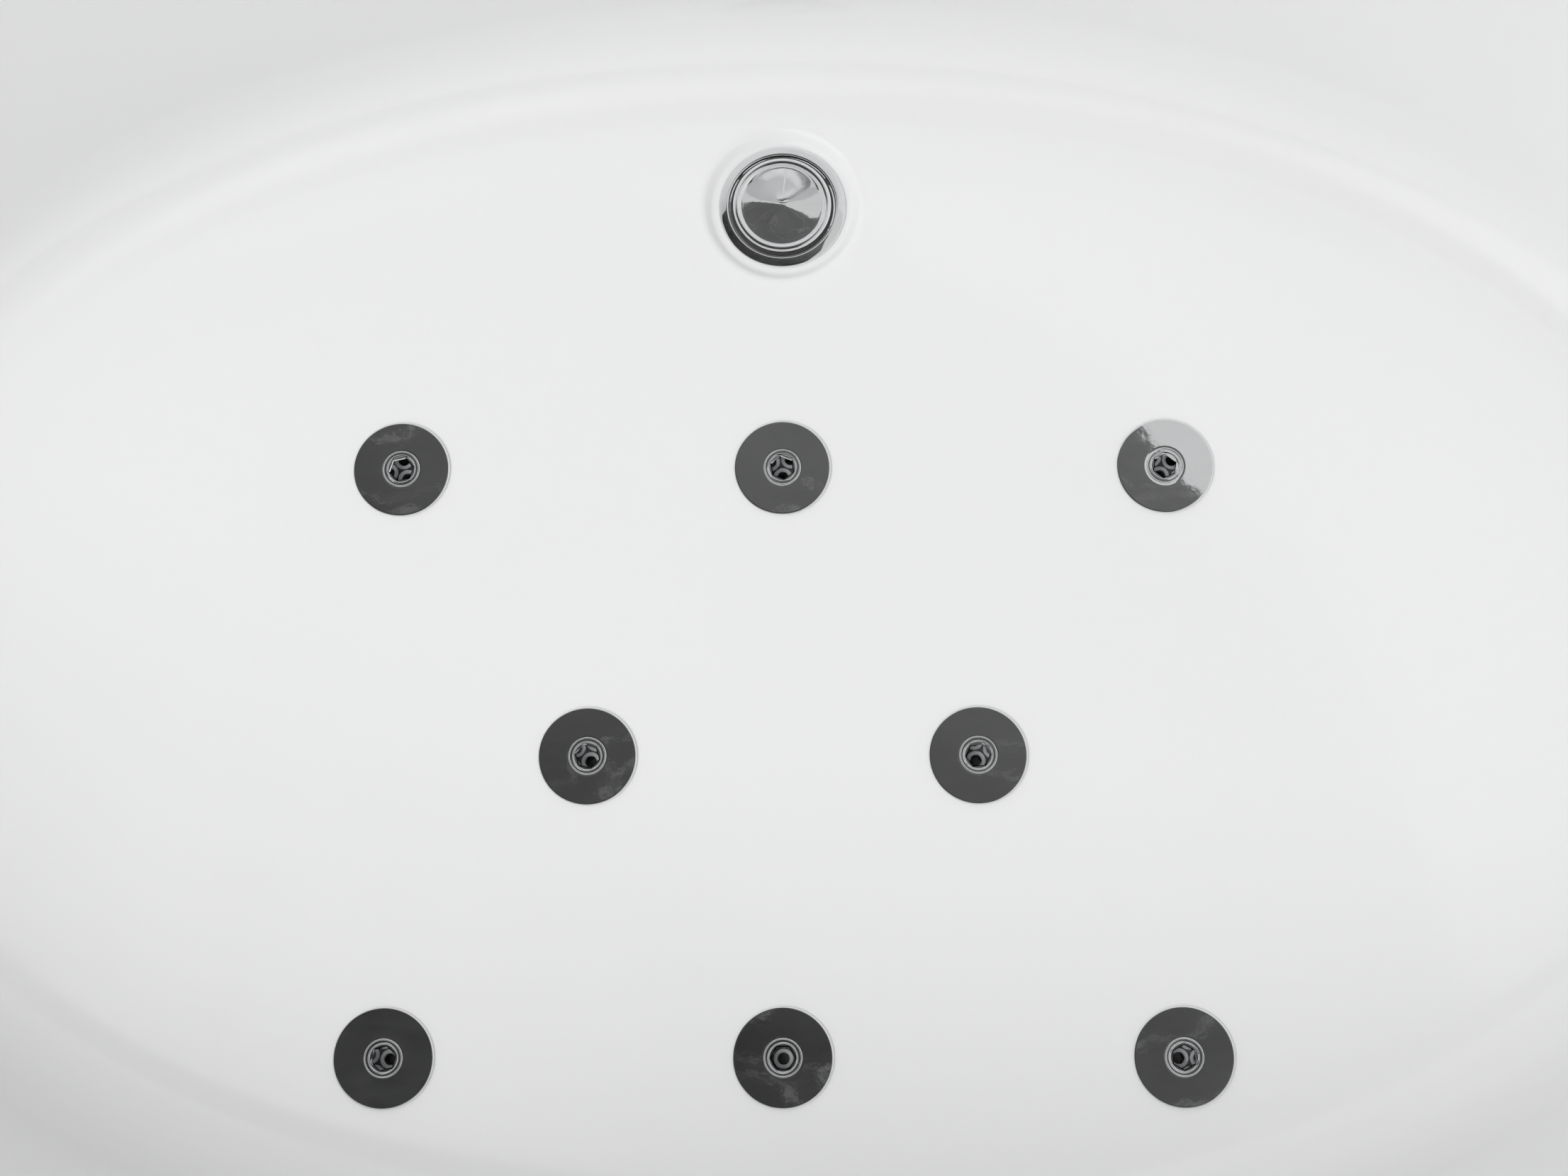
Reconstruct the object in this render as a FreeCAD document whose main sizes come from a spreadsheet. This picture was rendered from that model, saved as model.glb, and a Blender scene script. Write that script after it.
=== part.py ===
import FreeCAD
import Part
import Sketcher
import math
import os
import re

# Free-standing oval air-jet bathtub, in millimetres.
# Origin: on the ground, under the middle of the tub. +X runs along the tub, +Y towards the
# long side that carries the waste and the overflow, +Z up.

SIZES = [
    ("floor_height", 150, "inside floor above the ground"),
    ("floor_half_length", 473, "flat of the floor, from the middle to its end"),
    ("floor_half_width", 277, "flat of the floor, from the middle to its side"),
    ("floor_round", 55, "radius between floor and wall"),
    ("end_lean", 34, "lean of the two end walls, degrees from upright"),
    ("side_lean", 12, "lean of the two side walls, degrees from upright"),
    ("tub_depth", 440, "inside floor to rim"),
    ("shell_wall", 6, "acrylic with its glass-fibre backing"),
    ("rim_width", 65, "rim from its inner round to its outer edge"),
    ("rim_round", 10, "round of the rim into the tub"),
    ("rim_bevel", 5, "soft outer edge of the rim"),
    ("lip_drop", 34, "height of the lip turned down at the rim"),
    ("lip_wall", 6, "thickness of that lip"),
    ("sump_radius", 43.5, "dished recess round the waste, at floor level"),
    ("sump_depth", 5, "depth of the recess"),
    ("waste_inset", 46, "middle of the waste inside the side of the flat floor"),
    ("jet_pitch", 200, "jets along a row"),
    ("near_row_inset", 58, "near row of jets inside the side of the flat floor"),
    ("far_row_gap", 146, "far row of jets to the middle of the waste"),
    ("jet_cover_radius", 25.5, "chrome disc of a jet"),
    ("jet_cover_rise", 2, "face of the disc above the floor"),
    ("jet_shank_radius", 9.3, "threaded shank of the jet insert"),
    ("jet_shank_length", 19, "that shank under the disc"),
    ("jet_hex_corner", 6.1, "hexagon socket, centre to corner"),
    ("jet_hole_radius", 10.6, "hole for a jet in the floor"),
    ("jet_body_corner", 24, "hexagonal jet body, centre to corner"),
    ("seat_depth", 22, "valve ring under the face of the disc"),
    ("seat_height", 8, "bottom of the jet body under the valve seat"),
    ("seat_bore", 3.15, "air hole in the valve seat"),
    ("thread_gap", 0.3, "radial gap drawn in a thread"),
    ("fit_gap", 0.05, "radial gap of a shaft in its bore"),
    ("seat_gap", 0.3, "gap between parts that rest on a curved face"),
    ("board_height", 12, "wooden board under the floor"),
    ("board_end_inset", 73, "board inside the end of the flat floor"),
    ("board_side_inset", 21, "board inside the side of the flat floor"),
    ("board_corner", 110, "clipped corners of the board"),
    ("board_jet_hole", 60, "square hole in the board round a jet"),
    ("board_waste_notch", 108, "notch in the board round the waste"),
    ("bar_size", 25, "square tube of the frame"),
    ("bar_wall", 2, "wall of that tube"),
    ("rail_side_inset", 117, "rails inside the side of the flat floor"),
    ("rail_overhang", 45, "rails past the end of the flat floor"),
    ("crossbar_inset", 33, "crossbars inside the end of the flat floor"),
    ("crossbar_half_length", 235, "crossbars"),
    ("foot_offset", 215, "feet from the middle of the tub"),
    ("foot_pad_corner", 24, "hexagonal pad of a foot, centre to corner"),
    ("foot_pad_height", 12, "pad of a foot"),
    ("foot_stud_radius", 6, "threaded stud of a foot"),
    ("foot_stud_reach", 13, "stud inside the crossbar"),
    ("skirt_inset", 10, "skirt behind the edge of the rim"),
    ("skirt_wall", 5, "thickness of the skirt"),
    ("skirt_clearance", 6, "skirt above the ground"),
    ("panel_half_width", 110, "service panel at the end of the skirt"),
    ("panel_foot", 70, "its lower edge above the ground"),
    ("panel_height", 180, "its height"),
    ("panel_gap", 0.4, "gap round the panel"),
    ("panel_block_lap", 14, "blocks behind the corners of the panel, half their side"),
    ("panel_block_depth", 36, "blocks from the end of the skirt inwards"),
    ("louvre_half_length", 70, "air slots in the panel"),
    ("louvre_height", 6, "air slots in the panel"),
    ("louvre_pitch", 16, "one air slot to the next"),
    ("shelf_height", 3, "steel shelf of the blower"),
    ("shelf_overhang", 63, "far edge of the shelf past the middle of the blower"),
    ("shelf_half_width", 100, "shelf"),
    ("shelf_fold", 14, "side folds of the shelf"),
    ("blower_inset", 145, "middle of the blower inside the end of the skirt"),
    ("blower_length", 165, "blower case along the tub"),
    ("blower_width", 180, "blower case across the tub"),
    ("blower_height", 120, "blower case without its base"),
    ("blower_wall", 3, "wall of the case"),
    ("duct_width", 30, "air duct under a row of jets"),
    ("duct_wall", 2, "wall of the ducts"),
    ("blower_base_height", 4, "base plate of the blower"),
    ("mount_height", 8, "rubber blocks under the blower"),
    ("mount_size", 20, "rubber blocks under the blower"),
    ("mount_inset", 20, "middle of those blocks from the edge of the case"),
    ("motor_height", 50, "motor of the blower"),
    ("shaft_radius", 4, "shaft of the motor"),
    ("impeller_radius", 55, "impeller"),
    ("impeller_rise", 8, "impeller above the base plate"),
    ("impeller_height", 22, "blades of the impeller"),
    ("impeller_plate", 2, "back plate of the impeller"),
    ("gland_bore", 4, "hole for the mains cable"),
    ("gland_corner", 11, "cable gland, centre to corner"),
    ("gland_reach", 14, "cable gland under the base plate"),
    ("gland_offset", 62, "cable gland from the middle of the blower"),
    ("manifold_wall", 3, "wall of the manifold"),
    ("feed_length", 60, "air duct from the blower to the manifold"),
    ("manifold_size", 36, "square tube of the manifold"),
    ("feed_mouth", 18, "square mouths for the air pipe and the overflow pipe"),
    ("pipe_radius", 16, "overflow pipe, outside"),
    ("pipe_bore", 14, "overflow pipe, inside"),
    ("intake_size", 60, "air intake under the blower"),
    ("motor_size", 64, "motor of the blower"),
    ("blade_start", 20, "blades from the shaft"),
    ("guide_drop", 24, "guide of the stem under the flange"),
    ("guide_height", 8, "guide of the stem"),
    ("waste_body_size", 64, "square waste body under the tub"),
    ("waste_hole", 26, "radius of the waste hole in the floor"),
    ("waste_flange_radius", 34.15, "chrome flange of the waste"),
    ("waste_flange_height", 3, "that flange above the recess"),
    ("waste_mouth", 27.9, "inner edge of that flange"),
    ("waste_tail_radius", 24.5, "threaded tail of the flange"),
    ("waste_bore", 21.5, "bore of the tail"),
    ("waste_tail_length", 42, "tail under the recess"),
    ("plug_radius", 27.2, "cap of the plug"),
    ("plug_height", 4, "cap of the plug"),
    ("plug_stem_radius", 3.5, "stem of the plug"),
    ("plug_stem_length", 34, "stem of the plug"),
    ("waste_body_height", 66, "waste body"),
    ("waste_wall", 3, "wall of the waste and the overflow head"),
    ("arm_width", 58, "side arm of the waste body"),
    ("arm_height", 40, "side arm of the waste body"),
    ("drain_radius", 20, "outlet of the waste"),
    ("drain_length", 50, "outlet under the waste body"),
    ("overflow_tail_reach", 3, "tail of the overflow inside the tub"),
    ("head_reach", 30, "tail of the overflow into its head"),
    ("head_flange_height", 8, "flange of the overflow head"),
    ("head_offset", 16, "head behind the inner face of the tub"),
    ("overflow_drop", 90, "overflow under the rim"),
    ("overflow_hole", 24, "radius of the overflow hole"),
    ("overflow_tail_radius", 22, "tail of the overflow head through the wall"),
    ("knob_radius", 37, "turning cover of the overflow"),
    ("knob_height", 12, "turning cover of the overflow"),
    ("knob_gap", 1.5, "cover clear of the tail"),
    ("knob_shaft_radius", 5, "shaft of the cover"),
    ("knob_grip_width", 9, "grip bar on the cover"),
    ("knob_grip_height", 7, "grip bar on the cover"),
    ("head_radius", 34, "overflow head outside the tub"),
    ("head_depth", 44, "overflow head"),
    ("head_size", 64, "overflow head, its sides"),
    ("slot_width", 8, "water slots in the tail"),
    ("slot_height", 26, "water slots in the tail"),
    ("slot_offset", 11, "water slots from the shaft"),
    ("knob_shaft_length", 14, "shaft of the cover inside the tail"),
    ("cable_offset", 22, "cable beside the overflow pipe"),
    ("cable_radius", 3, "cable that lifts the plug"),
    ("button_angle", 17.5, "place of the air button on the rim, degrees"),
    ("button_radius", 12, "air button"),
    ("button_rise", 6, "air button above the rim"),
    ("button_depth", 24, "air button in its bezel"),
    ("bezel_radius", 21, "bezel of the air button"),
    ("bezel_height", 3, "bezel of the air button"),
    ("bezel_tail_radius", 15.5, "threaded tail of the bezel"),
    ("bezel_tail_length", 44, "threaded tail of the bezel"),
    ("button_hole", 16, "radius of the hole in the rim"),
    ("bellows_height", 30, "air bellows of the button"),
    ("tube_radius", 3, "thin air tube of the button"),
]

doc = FreeCAD.newDocument("Bathtub")
table = doc.addObject("Spreadsheet::Sheet", "Size")
for row, (alias, value, note) in enumerate(SIZES, start=1):
    table.set(f"A{row}", note)
    table.set(f"B{row}", str(value))
    table.setAlias(f"B{row}", alias)
doc.recompute()
ruler = doc.addObject("App::FeaturePython", "Ruler")

pieces = []
Vector = FreeCAD.Vector
INTO_TUB = (Vector(1, 0, 0), "90 - side_lean")
OUT_OF_TUB = (Vector(-1, 0, 0), "90 + side_lean")


# ---- helpers: expressions, primitives, booleans, turned bodies, tubes ----

def sized(text):
    """Point each size in an expression at its cell: every alias holds an underscore."""
    return re.sub(r"[a-z]+(?:_[a-z]+)+", lambda found: "Size." + found.group(0), str(text))


def measure(text):
    return float(ruler.evalExpression(sized(text)))


def bind(item, **texts):
    for name, text in texts.items():
        item.setExpression(name, sized(text))
    return item


def place(item, x=0, y=0, z=0, turned=None):
    if turned:
        axis, angle = turned
        item.Placement = FreeCAD.Placement(Vector(), FreeCAD.Rotation(axis, measure(angle)))
        item.setExpression("Placement.Rotation.Angle", sized(angle))
    for letter, text in zip("xyz", (x, y, z)):
        item.setExpression("Placement.Base." + letter, sized(text))
    return item


def cylinder(name, radius, height, x=0, y=0, z=0, turned=None):
    item = bind(doc.addObject("Part::Cylinder", name), Radius=radius, Height=height)
    return place(item, x, y, z, turned)


def hexagon(name, corner, height, x=0, y=0, z=0, turned=None):
    return prism(name, 6, corner, height, x, y, z, turned)


def prism(name, sides, corner, height, x=0, y=0, z=0, turned=None):
    item = doc.addObject("Part::Prism", name)
    item.Polygon = sides
    return place(bind(item, Circumradius=corner, Height=height), x, y, z, turned)


def box(name, length, width, height, x=0, y=0, z=0):
    """A box centred on x and y that stands on z."""
    item = bind(doc.addObject("Part::Box", name), Length=length, Width=width, Height=height)
    return place(item, f"{x} - ({length}) / 2", f"{y} - ({width}) / 2", z)



def oval(name, half_length, half_width, outset, z):
    """A four-centred oval: two end arcs and two side arcs, all moved out by the same step."""
    long, wide, step = measure(half_length), measure(half_width), measure(outset)
    end_radius = (math.hypot(long, wide) - (long - wide)) / 2 * math.hypot(long, wide) / long
    end_centre = long - end_radius
    side_centre = end_centre * long / wide
    side_radius = wide + side_centre
    far = math.hypot(end_centre, side_centre)
    joint = Vector(end_centre, side_centre, 0) * (1 / far)
    corner = Vector(0, -side_centre, 0) + joint * (side_radius + step)
    right, top = Vector(long + step, 0, 0), Vector(0, wide + step, 0)
    left, bottom = -right, -top
    turn = [Vector(sx * corner.x, sy * corner.y, 0) for sx, sy in ((1, 1), (-1, 1), (-1, -1), (1, -1))]
    arcs = [Part.Arc(turn[3], right, turn[0]), Part.Arc(turn[0], top, turn[1]),
            Part.Arc(turn[1], left, turn[2]), Part.Arc(turn[2], bottom, turn[3])]
    item = doc.addObject("Part::Feature", name)
    item.Shape = Part.Wire([arc.toShape() for arc in arcs])
    return place(item, 0, 0, z)


def oval_block(name, half_length, half_width, outset, z, height):
    return raised(name, oval(name + "_outline", half_length, half_width, outset, z), height)


def raised(name, outline, height):
    item = doc.addObject("Part::Extrusion", name)
    item.Base = outline
    item.Dir = Vector(0, 0, 1)
    item.DirMode = "Custom"
    item.Solid = True
    return bind(item, LengthFwd=height)


def banded(name, sections):
    """A solid of straight bands from one outline to the next."""
    item = doc.addObject("Part::Loft", name)
    item.Sections = sections
    item.Solid = True
    item.Ruled = True
    return item



def cut(name, base, *tools):
    item = doc.addObject("Part::Cut", name)
    item.Base = base
    item.Tool = tools[0] if len(tools) == 1 else join(name + "_tools", *tools)
    return item


def join(name, *shapes):
    item = doc.addObject("Part::MultiFuse", name)
    item.Shapes = list(shapes)
    return item


def shared(name, *shapes):
    item = doc.addObject("Part::MultiCommon", name)
    item.Shapes = list(shapes)
    return item


def profile(body, name, points, role):
    """A closed sketch in one of the body's planes; both distances of each corner follow the sheet."""
    sketch = body.newObject("Sketcher::SketchObject", name)
    plane = next(o for o in body.Origin.OriginFeatures if o.Role == role)
    sketch.AttachmentSupport = [(plane, "")]
    sketch.MapMode = "FlatFace"
    corners = [Vector(measure(r), measure(z), 0) for r, z in points]
    count = len(corners)
    for n in range(count):
        sketch.addGeometry(Part.LineSegment(corners[n], corners[(n + 1) % count]))
    for n in range(count):
        sketch.addConstraint(Sketcher.Constraint("Coincident", n, 2, (n + 1) % count, 1))
    for n, (across, up) in enumerate(points):
        for kind, text, now in (("DistanceX", across, corners[n].x), ("DistanceY", up, corners[n].y)):
            index = sketch.addConstraint(Sketcher.Constraint(kind, -1, 1, n, 1, now))
            sketch.setExpression(f"Constraints[{index}]", sized(text))
    return sketch


def turned_body(name, points, x=0, y=0, z=0, turned=None):
    """A piece turned about its own axis from a profile of radius and height."""
    body = doc.addObject("PartDesign::Body", name)
    sketch = profile(body, name + "_profile", points, "XZ_Plane")
    turn = body.newObject("PartDesign::Revolution", name + "_turn")
    turn.Profile = sketch
    turn.ReferenceAxis = (sketch, ["V_Axis"])
    turn.Angle = 360
    return place(body, x, y, z, turned)


def padded_body(name, points, height, x=0, y=0, z=0):
    """A plate padded from an outline of x and y."""
    body = doc.addObject("PartDesign::Body", name)
    pad = body.newObject("PartDesign::Pad", name + "_pad")
    pad.Profile = profile(body, name + "_profile", points, "XY_Plane")
    bind(pad, Length=height)
    return place(body, x, y, z)


def copies(name, master, spots, angles=None):
    """The same piece at several places, as one group of solids."""
    links = []
    for n, (x, y, z) in enumerate(spots):
        link = doc.addObject("App::Link", f"{name}_{n + 1}")
        link.LinkedObject = master
        if angles:
            link.Placement = FreeCAD.Placement(Vector(), FreeCAD.Rotation(Vector(0, 0, 1), angles[n]))
        links.append(place(link, x, y, z))
    group = doc.addObject("Part::Compound", name)
    group.Links = links
    return group




def named(label, item):
    item.Label = label
    pieces.append(item)
    return item


# ---- the tub: one vacuum-formed acrylic shell with its rim ----
# Floor, walls and rim are stacked four-centred ovals. The floor turns up through a round; the end
# walls lean far back and the side walls stand steeper, so each height has its own two half axes.

def reach_of(flat, lean, height):
    """Half axis of the inside at a height above its floor: a round, then a straight wall."""
    knee = f"floor_round * (1 - cos(90 - {lean}))"
    curved = f"{flat} + sqrt(abs(floor_round ^ 2 - (floor_round - {height}) ^ 2))"
    straight = f"{flat} + floor_round * sin(90 - {lean}) + ({height} - {knee}) * tan({lean})"
    return f"({height} < {knee} ? {curved} : {straight})"


def back_of(flat, lean, height):
    """Half axis of the underside at a height above its own floor: straight bands that touch the
    same round, one wall thickness further out."""
    turn = f"(90 - {lean})"
    knee = f"({BACK_ROUND} * (1 - cos(0.75 * {turn}) / cos({turn} / 4)))"
    low = f"({flat} + {BACK_ROUND} * tan({turn} / 4))"
    mid = f"({flat} + {BACK_ROUND} * sin(0.75 * {turn}) / cos({turn} / 4))"
    sloped = f"{low} + ({mid} - {low}) * {height} / {knee}"
    straight = f"{mid} + ({height} - {knee}) * tan({lean})"
    return f"({height} < {knee} ? {sloped} : {straight})"


BACK_ROUND = "(floor_round + shell_wall)"
RIM_TOP = "(floor_height + tub_depth)"
BOARD_TOP = "(floor_height - shell_wall)"
WALL_TOP = "(tub_depth - rim_round)"
WALL_BANDS = 4
FLOOR_TURNS = ("28", "(90 - end_lean)", "(90 - side_lean)")


def stations(reach, knees, top, base):
    """Half length, half width and level of the tub: at its floor, up the round, evenly up the wall."""
    heights = ["0"] + knees
    for n in range(1, WALL_BANDS + 1):
        heights.append(f"({knees[-1]} + ({top} - {knees[-1]}) * {n} / {WALL_BANDS})")
    return [(reach("floor_half_length", "end_lean", height), reach("floor_half_width", "side_lean", height),
             f"{base} + {height}") for height in heights]


EDGE_LENGTH = "(" + reach_of("floor_half_length", "end_lean", WALL_TOP) + " + rim_round)"
EDGE_WIDTH = "(" + reach_of("floor_half_width", "side_lean", WALL_TOP) + " + rim_round)"
RIM_LENGTH = f"({EDGE_LENGTH} + rim_width)"
RIM_WIDTH = f"({EDGE_WIDTH} + rim_width)"

inside = stations(reach_of, [f"(floor_round * (1 - cos({turn})))" for turn in FLOOR_TURNS], WALL_TOP, "floor_height")
inside += [
    (f"{EDGE_LENGTH} - rim_round * 0.7", f"{EDGE_WIDTH} - rim_round * 0.7", f"{RIM_TOP} - rim_round * 0.3"),
    (EDGE_LENGTH, EDGE_WIDTH, RIM_TOP),
]
back_knees = [f"({BACK_ROUND} * (1 - cos(0.75 * (90 - {lean})) / cos((90 - {lean}) / 4)))"
              for lean in ("end_lean", "side_lean")]
underside = stations(back_of, back_knees, "tub_depth", BOARD_TOP)
tub_space = banded("tub_space", [oval(f"inside_{n}", long, wide, "0", z) for n, (long, wide, z) in enumerate(inside)])
tub_outside = banded("tub_outside", [oval(f"underside_{n}", long, wide, "0", z)
                                     for n, (long, wide, z) in enumerate(underside)])
rim_block = banded("rim_block", [oval(f"rim_{n}", RIM_LENGTH, RIM_WIDTH, outset, z) for n, (outset, z) in enumerate((
    ("0", f"{RIM_TOP} - lip_drop"),
    ("0", f"{RIM_TOP} - rim_bevel"),
    ("-rim_bevel", RIM_TOP),
))])
under_rim = oval_block("under_rim", RIM_LENGTH, RIM_WIDTH, "-lip_wall", f"{RIM_TOP} - lip_drop - 1",
                       "lip_drop + 1 - shell_wall")
rim = cut("rim", rim_block, under_rim)

# The waste sits in a shallow round dish pressed into the floor.
WASTE_Y = "(floor_half_width - waste_inset)"
sump_back = cylinder("sump_back", "sump_radius + shell_wall", "sump_depth + 1", 0, WASTE_Y,
                     "floor_height - sump_depth - shell_wall")
sump_dish = cylinder("sump_dish", "sump_radius", "sump_depth + 1", 0, WASTE_Y, "floor_height - sump_depth")
waste_hole = cylinder("waste_opening", "waste_hole", "4 * shell_wall + sump_depth",
                      0, WASTE_Y, "floor_height - sump_depth - 3 * shell_wall")

# Jets lie in rows of three, two and three. Threads and their holes that no one sees have twelve
# sides, and a hole's flats clear the corners of what stands in it.
THREAD_SIDES = 12
FLAT_SHARE = "cos(15)"
FAR_ROW = f"({WASTE_Y} - far_row_gap)"
NEAR_ROW = "(near_row_inset - floor_half_width)"
MIDDLE_ROW = f"(({FAR_ROW} + {NEAR_ROW}) / 2)"
ROWS = [("far", FAR_ROW, (-1, 0, 1)), ("middle", MIDDLE_ROW, (-0.5, 0.5)), ("near", NEAR_ROW, (-1, 0, 1))]
JETS = [(f"{step} * jet_pitch", y) for _, y, steps in ROWS for step in steps]
jet_holes = [prism(f"jet_hole_{n}", THREAD_SIDES, "jet_hole_radius", "4 * shell_wall", x, y,
                   "floor_height - 3 * shell_wall") for n, (x, y) in enumerate(JETS, start=1)]

# Overflow in the far wall; its axis is square to the leaning wall.
OVERFLOW_Z = f"({RIM_TOP} - overflow_drop)"
OVERFLOW_UP = f"({OVERFLOW_Z} - floor_height)"
OVERFLOW_Y = "(" + reach_of("floor_half_width", "side_lean", OVERFLOW_UP) + ")"


def off_wall(along, out):
    """Point beside the overflow: so far up the wall and so far out of the tub."""
    y = f"{OVERFLOW_Y} + ({along}) * sin(side_lean) + ({out}) * cos(side_lean)"
    z = f"{OVERFLOW_Z} + ({along}) * cos(side_lean) - ({out}) * sin(side_lean)"
    return y, z


hole_y, hole_z = off_wall("0", "4 * shell_wall")
overflow_opening = cylinder("overflow_opening", "overflow_hole", "8 * shell_wall", 0, hole_y, hole_z, INTO_TUB)

HEAD_Y = f"({OVERFLOW_Y} + head_offset)"

# Air button near the right-hand end of the rim, midway between the skirt and the tub.
SKIRT_LENGTH = f"({RIM_LENGTH} - skirt_inset)"
SKIRT_WIDTH = f"({RIM_WIDTH} - skirt_inset)"
BUTTON_X = f"(({EDGE_LENGTH} + {SKIRT_LENGTH} - skirt_wall) / 2 * cos(button_angle))"
BUTTON_Y = f"(-({EDGE_WIDTH} + {SKIRT_WIDTH} - skirt_wall) / 2 * sin(button_angle))"
button_opening = cylinder("button_opening", "button_hole", "4 * shell_wall",
                          BUTTON_X, BUTTON_Y, f"{RIM_TOP} - 2 * shell_wall")

shell_body = join("shell_body", tub_outside, rim, sump_back)
named("acrylic_shell", cut("shell", shell_body, tub_space, sump_dish, waste_hole, overflow_opening,
                           button_opening, *jet_holes))

# ---- the board under the floor and the welded steel frame ----
FRAME_TOP = f"({BOARD_TOP} - board_height)"
CROSSBAR_X = "(floor_half_length - crossbar_inset)"
RAIL_REACH = "(floor_half_length + rail_overhang)"
BOARD_X = "(floor_half_length - board_end_inset)"
BOARD_Y = "(floor_half_width - board_side_inset)"
BOARD_CORNERS = ((BOARD_X, f"({BOARD_Y} - board_corner)"), (f"({BOARD_X} - board_corner)", BOARD_Y))
board_outline = [(x, y) for x, y in BOARD_CORNERS]
board_outline += [(f"-{x}", y) for x, y in reversed(BOARD_CORNERS)]
board_outline += [(f"-{x}", f"-{y}") for x, y in BOARD_CORNERS]
board_outline += [(x, f"-{y}") for x, y in reversed(BOARD_CORNERS)]
board_block = padded_body("board_block", board_outline, "board_height", 0, 0, FRAME_TOP)
board_holes = [box(f"board_hole_{n}", "board_jet_hole", "board_jet_hole", "3 * board_height", x, y,
                   f"{FRAME_TOP} - board_height") for n, (x, y) in enumerate(JETS, start=1)]
board_notch = box("board_notch", "board_waste_notch", "board_waste_notch", "3 * board_height", 0, WASTE_Y,
                  f"{FRAME_TOP} - board_height")
named("base_board", cut("board", board_block, board_notch, *board_holes))

RAIL_FOOT = f"({FRAME_TOP} - bar_size)"
CROSSBAR_FOOT = f"({RAIL_FOOT} - bar_size)"
for label, side in (("frame_rail_far", 1), ("frame_rail_near", -1)):
    y = f"{side} * (floor_half_width - rail_side_inset)"
    outer = box(label + "_bar", f"2 * {RAIL_REACH}", "bar_size", "bar_size", 0, y, RAIL_FOOT)
    inner = box(label + "_bore", f"2 * {RAIL_REACH} + 2", "bar_size - 2 * bar_wall",
                "bar_size - 2 * bar_wall", 0, y, f"{RAIL_FOOT} + bar_wall")
    named(label, cut(label + "_tube", outer, inner))

FEET = []
for label, end in (("left", -1), ("right", 1)):
    x = f"{end} * {CROSSBAR_X}"
    outer = box(f"crossbar_{label}_bar", "bar_size", "2 * crossbar_half_length", "bar_size", x, 0, CROSSBAR_FOOT)
    inner = box(f"crossbar_{label}_bore", "bar_size - 2 * bar_wall", "2 * crossbar_half_length + 2",
                "bar_size - 2 * bar_wall", x, 0, f"{CROSSBAR_FOOT} + bar_wall")
    stud_holes = []
    for place_name, side in (("far", 1), ("near", -1)):
        y = f"{side} * foot_offset"
        FEET.append((f"{place_name}_{label}", x, y))
        stud_holes.append(prism(f"stud_hole_{place_name}_{label}", THREAD_SIDES,
                                f"(foot_stud_radius + thread_gap) / {FLAT_SHARE}", "2 * bar_wall", x, y,
                                f"{CROSSBAR_FOOT} - bar_wall / 2"))
    named(f"frame_crossbar_{label}", cut(f"crossbar_{label}", outer, inner, *stud_holes))

# Four screw feet: a hexagonal pad with its stud, turned up or down in the crossbar.
for label, x, y in FEET:
    pad = hexagon(f"pad_{label}", "foot_pad_corner", "foot_pad_height", x, y, 0)
    stud = prism(f"stud_{label}", THREAD_SIDES, "foot_stud_radius",
                 f"{CROSSBAR_FOOT} + foot_stud_reach - foot_pad_height", x, y, "foot_pad_height")
    named(f"foot_{label}", join(f"foot_{label}_whole", pad, stud))

# ---- the skirt, its service panel and the blocks that hold the panel ----
SKIRT_HEIGHT = f"({RIM_TOP} - shell_wall - skirt_clearance)"


def skirt_ring(name, foot, height):
    outer = oval_block(name + "_outer", RIM_LENGTH, RIM_WIDTH, "-skirt_inset", foot, height)
    inner = oval_block(name + "_inner", RIM_LENGTH, RIM_WIDTH, "-skirt_inset - skirt_wall", f"{foot} - 1",
                       f"{height} + 2")
    return cut(name, outer, inner)


def end_window(name, half_width, foot, height):
    """A box that takes in the right-hand end of the tub."""
    return box(name, "2 * rim_width", f"2 * ({half_width})", height, f"{SKIRT_LENGTH} - rim_width / 2", 0, foot)


whole_ring = skirt_ring("whole_ring", "skirt_clearance", SKIRT_HEIGHT)
panel_opening = end_window("panel_opening", "panel_half_width + panel_gap", "panel_foot - panel_gap",
                           "panel_height + 2 * panel_gap")
named("outer_skirt", cut("skirt", whole_ring, panel_opening))

panel_ring = skirt_ring("panel_ring", "panel_foot", "panel_height")
panel_piece = shared("panel_piece", panel_ring, end_window("panel_outline", "panel_half_width", "panel_foot",
                                                           "panel_height"))
LOUVRES = 4
louvres = [end_window(f"louvre_{n}", "louvre_half_length",
                      f"panel_foot + panel_height / 2 + ({n - (LOUVRES - 1) / 2}) * louvre_pitch - louvre_height / 2",
                      "louvre_height") for n in range(LOUVRES)]
named("service_panel", cut("panel", panel_piece, *louvres))

# Each block stands behind a corner of the panel and reaches half behind the skirt.
block_room = oval_block("block_room", RIM_LENGTH, RIM_WIDTH, "-skirt_inset - skirt_wall - seat_gap", "0", RIM_TOP)
blocks = []
for side in (-1, 1):
    for level in ("panel_foot", "(panel_foot + panel_height)"):
        n = len(blocks) + 1
        rough = box(f"rough_block_{n}", "2 * panel_block_depth", "2 * panel_block_lap", "2 * panel_block_lap",
                    SKIRT_LENGTH, f"{side} * panel_half_width", f"{level} - panel_block_lap")
        blocks.append(shared(f"panel_block_{n}", rough, block_room))
block_set = doc.addObject("Part::Compound", "block_set")
block_set.Links = blocks
named("panel_blocks", block_set)

# ---- floor jets: a chrome insert with a hexagon socket, screwed into a body under the floor ----
SEAT_TOP = f"(floor_height + jet_cover_rise - seat_depth)"
BODY_FOOT = f"({SEAT_TOP} - seat_height)"
SOCKET_TURNS = (12, 38, 22, 47, 5, 17, 0, 30)

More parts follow.
